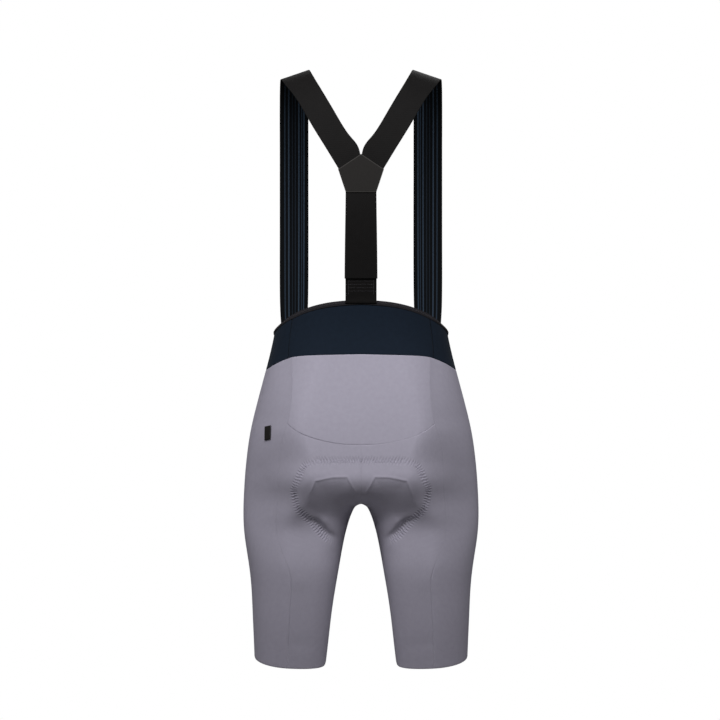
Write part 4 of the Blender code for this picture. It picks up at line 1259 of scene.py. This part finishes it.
def ribbon(name, face, outsideLook, insideLook, cord=0.0):
    # a flat elastic with rolled edges and, if asked, cords raised along its inner face
    plan = strapPlan
    normal = gridNormals(face)
    across, down = gridLengths(face)
    near = np.minimum.reduce([across, across[:, -1:] - across, down, down[-1:] - down])
    near = np.clip(near / plan["rollWidth"], 0, 1)
    roll = (1 - np.sqrt(near * (2 - near))) * plan["thickness"] * plan["rollShare"]
    cords = cord * (np.cos(2 * math.pi * across / plan["cordPitch"]) - 1)
    outer = face + normal * (plan["thickness"] - roll)[..., None]
    inner = face + normal * (roll - cords)[..., None]
    uv = np.stack([across - across[:, -1:] / 2, down], axis=-1)
    return addCloth(name, outer, inner, uv, outsideLook, insideLook)


def makeStrap():
    plan = strapPlan
    innerEdge, outerEdge = (np.array([row[k] for row in plan["edges"]]) for k in (0, 1))
    walk = np.concatenate([[0], np.cumsum(np.linalg.norm(np.diff(outerEdge, axis=0), axis=1))])
    footZ = np.linspace(plan["footZ"], float(waistTop(plan["footShare"])) - 0.001, plan["footRows"])
    share = withEdges(plan["cells"], plan["width"], plan["near"])
    footX = plan["footInner"] + (plan["footOuter"] - plan["footInner"]) * share
    u = np.array([[shareAt(z, x, True) for x in footX] for z in footZ])
    base = bodyPoint(u, np.repeat(footZ[:, None], len(share), axis=1))
    foot = base + outward(base) * plan["lift"]
    at = np.linspace(0, walk[-1], plan["rows"])
    inner, outer = (
        np.stack([smoothRead(at, walk, part) for part in edge.T], axis=-1) for edge in (innerEdge, outerEdge)
    )
    free = inner[:, None] * (1 - share[:, None]) + outer[:, None] * share[:, None]
    face = np.concatenate([foot, free])
    return ribbon("strapRight", face, blackElastic, stripedElastic, plan["cord"])


strapRight = makeStrap()
strapLeft = mirrored(strapRight, "strapLeft")
for piece, node in ((strapRight, "strap_right"), (strapLeft, "strap_left")):
    settle(piece, [node])
print("straps made")

# The strap down the spine and the tab that carries it
spinePlan = {
    "strap": ((-0.1718, -0.0832, 0.0233), (-0.2000, -0.0830, 0.0235), (-0.2400, -0.0795, 0.0241),
              (-0.2800, -0.0735, 0.0247), (-0.3175, -0.0668, 0.0251)),
    "tab": ((-0.2950, -0.0686, 0.0238), (-0.3150, -0.0648, 0.0238), (-0.3300, -0.0616, 0.0238),
            (-0.3440, -0.0583, 0.0238)),
    "tabFoot": (-0.3480, -0.3510, -0.3535, -0.3557),
    "strapRows": 110, "tabRows": 36, "cells": 36, "width": 0.046,
}


def spineFace(table, rows, cells):
    heights, *parts = np.array(table).T
    first, run = heights[0], heights[-1] - heights[0]
    z = first + run * withEdges(rows, abs(run), strapPlan["near"])
    y, half = (smoothRead(z, heights, part) for part in parts)
    share = 2 * withEdges(cells, spinePlan["width"], strapPlan["near"]) - 1
    return np.stack(np.broadcast_arrays(half[:, None] * share, y[:, None], z[:, None]), axis=-1)


def makeSpine():
    plan = spinePlan
    face = spineFace(plan["strap"], plan["strapRows"], plan["cells"])
    strap = ribbon("spineStrap", face, blackElastic, stripedElastic)
    # the tab's free length without its last close rows, and then its foot on the band
    free = spineFace(plan["tab"], plan["tabRows"], plan["cells"])[:-3]
    x, z = free[-1, :, 0], np.array(plan["tabFoot"])
    u = np.array([[math.copysign(shareAt(h, abs(a)), a) for a in x] for h in z])
    base = bodyPoint(u, np.repeat(z[:, None], len(x), axis=1))
    foot = base + outward(base) * strapPlan["lift"]
    tab = ribbon("spineTab", np.concatenate([free, foot]), blackElastic, blackElastic)
    return strap, tab


spineStrap, spineTab = makeSpine()
settle(spineStrap, ["spine_strap"])
settle(spineTab, ["spine_tab"])
print("spine strap made")

# The five-sided label over the joint of the Y
yLabelPlan = {
    "outline": ((0.0000, -0.1290), (0.0348, -0.1522), (0.0232, -0.1872)), "faceY": -0.0852,
    "thickness": 0.0009, "rim": 0.0012, "radius": 0.03, "bevel": 0.0003,
}


def makeYLabel():
    plan = yLabelPlan
    half = plan["outline"]
    outline = [*half, *((-x, z) for x, z in half[:0:-1])]
    bpy.ops.object.select_all(action="DESELECT")
    bpy.ops.mesh.primitive_circle_add(vertices=len(outline), radius=plan["radius"], fill_type="NGON")
    made = bpy.context.object
    made.name = made.data.name = "yLabel"
    for vertex, (x, z) in zip(made.data.vertices, outline):
        vertex.co = (x, plan["faceY"], z)
    bpy.ops.object.mode_set(mode="EDIT")
    bpy.ops.mesh.select_all(action="SELECT")
    bpy.ops.mesh.normals_make_consistent(inside=False)
    bpy.ops.mesh.inset(thickness=plan["rim"])
    bpy.ops.object.mode_set(mode="OBJECT")
    made.data.materials.append(labelCloth)
    made.data.materials.append(labelRimPaintedHighlight)
    # the inset rim takes the lighter colour, a painted highlight along the label's edge
    for face in made.data.polygons:
        face.material_index = 0 if len(face.vertices) == len(outline) else 1
    solid = made.modifiers.new("thickness", "SOLIDIFY")
    solid.thickness = plan["thickness"]
    solid.offset = 1 if made.data.polygons[0].normal.y < 0 else -1
    bpy.ops.object.modifier_apply(modifier="thickness")
    bevel = made.modifiers.new("edge", "BEVEL")
    bevel.width, bevel.segments = plan["bevel"], 3
    bpy.ops.object.modifier_apply(modifier="edge")
    bpy.ops.object.shade_smooth_by_angle(angle=math.radians(35))
    return made


yLabel = makeYLabel()
settle(yLabel, ["y_label"])
print("Y label made")

# The tab label on the left hip
hipLabelPlan = {
    "x": (0.1373, 0.1466), "z": (-0.5640, -0.5430), "slant": 0.0025,
    "thickness": 0.0009, "roll": 0.0004, "off": 0.0003, "rows": 22, "cells": 12,
}


def makeHipLabel():
    plan = hipLabelPlan
    across = even(plan["cells"])[None, :]
    down = even(plan["rows"])[:, None]
    x = plan["x"][1] + (plan["x"][0] - plan["x"][1]) * np.repeat(across, len(down), axis=0)
    z = plan["z"][1] + (plan["z"][0] - plan["z"][1]) * np.repeat(down, across.shape[1], axis=1)
    u = -np.array([[shareAt(h, a) for a, h in zip(p, q)] for p, q in zip(x, z)])
    base = bodyPoint(u, z + plan["slant"] * (across - 0.5))
    normal = outward(base)
    lengths = gridLengths(base)
    roll = edgeRoll(*lengths, (plan["roll"],) * 4)[..., None]
    outer = base + normal * (plan["thickness"] * 2 + plan["off"] - roll)
    inner = base + normal * (plan["thickness"] + plan["off"])
    return addCloth("hipLabel", outer, inner, np.stack(lengths, axis=-1), labelCloth)


hipLabel = makeHipLabel()
settle(hipLabel, ["hip_label"])
print("hip label made")

# Sewing thread: a short arched length for each stitch, a little thicker than life so that it shows
threadPlan = {
    "radius": 0.00022,
    "arch": ((0, -0.6), (0.2, 0.7), (0.8, 0.7), (1, -0.6)),  # share along the stitch, height in radii
    "padPitch": 0.0023, "padOuter": 0.0040, "padInner": 0.0080, "padUp": 0.00005,
    "bandPitch": 0.0011, "bandSwing": 12, "bandDown": 0.0001,  # the swing is in half seam gaps
    "bindingStitches": 300, "bindingSwing": 0.17, "bindingUp": 0.00008,
    "tabRows": (-0.3215, -0.3265, -0.3315, -0.3365), "tabHalf": 0.0190, "tabUp": 0.0001,
    "tabStep": 0.0028, "tabStitch": 0.0023, "tabStart": 0.001, "tabEnd": 0.006,
    "footStep": 0.0030, "footStitch": 0.8, "footInset": 0.0035, "footTop": 0.010, "footUp": 0.0001,
}


def addStitches(name, starts, ends, normals, look):
    radius = threadPlan["radius"]
    run = ends - starts
    side = np.cross(normals, run)
    side /= np.linalg.norm(side, axis=-1, keepdims=True)
    share, height = np.array(threadPlan["arch"]).T
    height = radius * height
    middle = starts[:, None] + run[:, None] * share[:, None] + normals[:, None] * height[:, None]
    turn = ((1, 0), (0, 1), (-1, 0), (0, -1))
    points = np.stack([middle + radius * (a * side + b * normals)[:, None] for a, b in turn], axis=2)
    # four corners at each of the arch's four places, with a cap at both ends
    rings = [(4 * i + j, 4 * i + (j + 1) % 4) for i in range(3) for j in range(4)]
    one = [(a, b, b + 4, a + 4) for a, b in rings] + [(3, 2, 1, 0), (12, 13, 14, 15)]
    faces = (np.array(one)[None] + 16 * np.arange(len(starts))[:, None, None]).reshape(-1, 4)
    return meshPiece(name, points, faces, look)


def bothSides(*arrays):
    return [np.concatenate([array, array * (-1, 1, 1)]) for array in arrays]


def padStitches():
    # a zigzag just inside the pad's edge, through the knit
    plan = threadPlan
    count = int(outlineLength[-1] / plan["padPitch"])
    at = np.linspace(0, outlineLength[-1], count)
    angle, walk = np.interp(at, outlineLength, outlineAngle), np.interp(at, outlineLength, outlineWalk)
    spots = padSpot(angle, walk)
    r = np.hypot(spots[:, 1] - padForm["axisY"], spots[:, 2] - padForm["axisZ"])
    ahead, out = np.gradient(np.radians(angle)) * r, np.gradient(walk)
    length = np.hypot(ahead, out)
    inset = np.where(np.arange(count) % 2, plan["padOuter"], plan["padInner"])
    angle = angle + np.degrees(inset * out / length / r)
    walk = np.maximum(walk - inset * ahead / length, 0)
    base = padSpot(angle, walk)
    normal = outward(base)
    points = base + normal * (relief(base) + plan["padUp"])[:, None]
    shown = seamFade(base)[:-1] > 0.5  # the line is covered where it crosses the inside of the thigh
    both = bothSides(points[:-1][shown], points[1:][shown], normal[:-1][shown])
    return addStitches("padZigzag", *both, greyThread)


def bindingStitches():
    plan = threadPlan
    u = np.linspace(-1, 1, 2 * plan["bindingStitches"] + 1)
    swing = np.where(np.arange(len(u)) % 2, 1, -1) * plan["bindingSwing"]
    base = bodyPoint(u, waistTop(u) - bindingWidth(u) * (0.5 + swing))
    normal = outward(base)
    up = waistBindingPlan["proud"] + (waistBindingPlan["thickness"] - bodyForm["knit"]) / 2
    points = base + normal * (up + plan["bindingUp"])
    return addStitches("bindingZigzag", points[:-1], points[1:], normal[:-1], charcoalThread)


def bandStitches():
    # a close dark zigzag over the four upright seams of the band
    plan, parts = threadPlan, []
    for seam in (bandSeam, frontSeam):
        foot, top = evenHeights(seam, bandFoot, bandTop, even(1)) + (0.5 - even(1)) * bodyForm["seamGap"]
        z = np.arange(foot, top, plan["bandPitch"])
        swing = np.where(np.arange(len(z)) % 2, 1, -1) * plan["bandSwing"] * gapShare(z)
        base = bodyPoint(seam(z) + swing, z)
        normal = outward(base)
        points = base + normal * (plainRelief(base) - plan["bandDown"])[:, None]
        parts.append((points[:-1], points[1:], normal[:-1]))
    return addStitches("bandZigzag", *bothSides(*map(np.concatenate, zip(*parts))), navyThread)


def tabStitches():
    # rows that hold the end of the spine strap to its tab, and a line down each side of them
    plan = threadPlan
    half, step, stitch = plan["tabHalf"], plan["tabStep"], plan["tabStitch"]
    x = np.arange(-half, half, step)
    down = np.arange(plan["tabRows"][0] + plan["tabStart"], plan["tabRows"][-1] - plan["tabEnd"], -step)
    flat = [(a, a + stitch, z, z) for z in plan["tabRows"] for a in x]
    flat += [(side * half, side * half, z, z - stitch) for side in (-1, 1) for z in down]
    x0, x1, z0, z1 = np.array(flat).T
    heights, depths, _ = np.array(spinePlan["tab"]).T
    off = strapPlan["thickness"] + plan["tabUp"]
    starts, ends = (
        np.stack([x, smoothRead(z, heights, depths) - off, z], axis=-1) for x, z in ((x0, z0), (x1, z1))
    )
    normals = np.tile([0.0, -1.0, 0.0], (len(starts), 1))
    return addStitches("tabStitches", starts, ends, normals, charcoalThread)


def footStitches():
    # a box sewn through each strap's foot and the front band
    plan, strap = threadPlan, strapPlan
    inset, step = plan["footInset"], plan["footStep"]
    stitch = plan["footStitch"] * step
    left, right = strap["footInner"] + inset, strap["footOuter"] - inset
    foot, top = strap["footZ"] + inset, float(waistTop(strap["footShare"])) - plan["footTop"]
    across, down = np.arange(left, right - step, step), np.arange(foot, top - step, step)
    flat = [(x, x + stitch, z, z) for z in (foot, top) for x in across]
    flat += [(x, x, z, z + stitch) for x in (left, right) for z in down]
    x0, x1, z0, z1 = np.array(flat).T
    starts, ends = (
        bodyPoint(np.array([shareAt(h, a, True) for a, h in zip(x, z)]), z) for x, z in ((x0, z0), (x1, z1))
    )
    normal = outward(starts)
    up = normal * (strap["lift"] + strap["thickness"] + plan["footUp"])
    return addStitches("strapFootStitches", *bothSides(starts + up, ends + up, normal), charcoalThread)


for piece, slot in (
    (padStitches(), "lilac_knit"), (bandStitches(), "navy_knit"), (bindingStitches(), "elastic"),
    (tabStitches(), "elastic"), (footStitches(), "elastic"),
):
    settle(piece, [])
print("stitches made")

# Studio: a pale floor, soft light and the camera
studio = {
    "floorZ": -2.50, "floorRadius": 1.6,
    "camera": (-0.00155, -4.0, -0.44175), "lens": 129.03,
    "ambient": 0.065,
    # name, place, aim, size in metres, power in watts
    "lights": (
        ("keyLight", (-0.10, -1.20, 0.74), (0.0, 0.0, -0.55), 0.9, 18.3),
        ("leftKey", (-1.30, -0.95, 0.78), (0.0, 0.0, -0.55), 0.9, 11.6),
        ("rightKey", (1.30, -0.95, 0.78), (0.0, 0.0, -0.55), 0.9, 10.2),
        ("leftRim", (-1.9, -0.95, -0.30), (0.0, 0.0, -0.62), 0.8, 3.0),
        ("rightRim", (1.9, -0.95, -0.30), (0.0, 0.0, -0.62), 0.8, 2.6),
        ("frontLight", (0.2, 1.8, 1.5), (0.0, 0.0, -0.45), 1.2, 24),
    ),
}


def makeStudio():
    scene = bpy.context.scene
    bpy.ops.object.select_all(action="DESELECT")
    place, radius = (0, 0, studio["floorZ"]), studio["floorRadius"]
    bpy.ops.mesh.primitive_circle_add(vertices=96, radius=radius, fill_type="NGON", location=place)
    floor = bpy.context.object
    floor.name = "studioFloor"
    floor.data.materials.append(plainMaterial("matWhiteFloor", finishes["floor"], 0.9, 5.0, 0.0))
    world = bpy.data.worlds.new("studioWorld")
    scene.world = world
    world.use_nodes = True
    tree = world.node_tree
    background = tree.nodes["Background"]
    background.inputs[0].default_value = (1, 1, 1, 1)
    background.inputs[1].default_value = studio["ambient"]
    white = addNode(tree, "ShaderNodeBackground", {0: (1, 1, 1, 1), 1: 1.0})
    rays = addNode(tree, "ShaderNodeLightPath")
    seen = {0: rays.outputs["Is Camera Ray"], 1: background.outputs[0], 2: white.outputs[0]}
    mix = addNode(tree, "ShaderNodeMixShader", {}, seen)
    tree.links.new(mix.outputs[0], tree.nodes["World Output"].inputs[0])
    for name, place, aim, size, power in studio["lights"]:
        lamp = bpy.data.lights.new(name, "AREA")
        lamp.shape, lamp.size, lamp.energy = "DISK", size, power
        made = bpy.data.objects.new(name, lamp)
        scene.collection.objects.link(made)
        made.location = place
        x, y, z = np.array(place) - np.array(aim)
        made.rotation_euler = (math.atan2(np.hypot(x, y), z), 0, math.atan2(x, -y))
    camera = bpy.data.cameras.new("studioCamera")
    camera.lens, camera.sensor_width = studio["lens"], 36
    made = bpy.data.objects.new("studioCamera", camera)
    scene.collection.objects.link(made)
    made.location = studio["camera"]
    made.rotation_euler = (math.pi / 2, 0, 0)
    scene.camera = made
    scene.view_settings.view_transform = "Standard"


makeStudio()
print("studio ready")
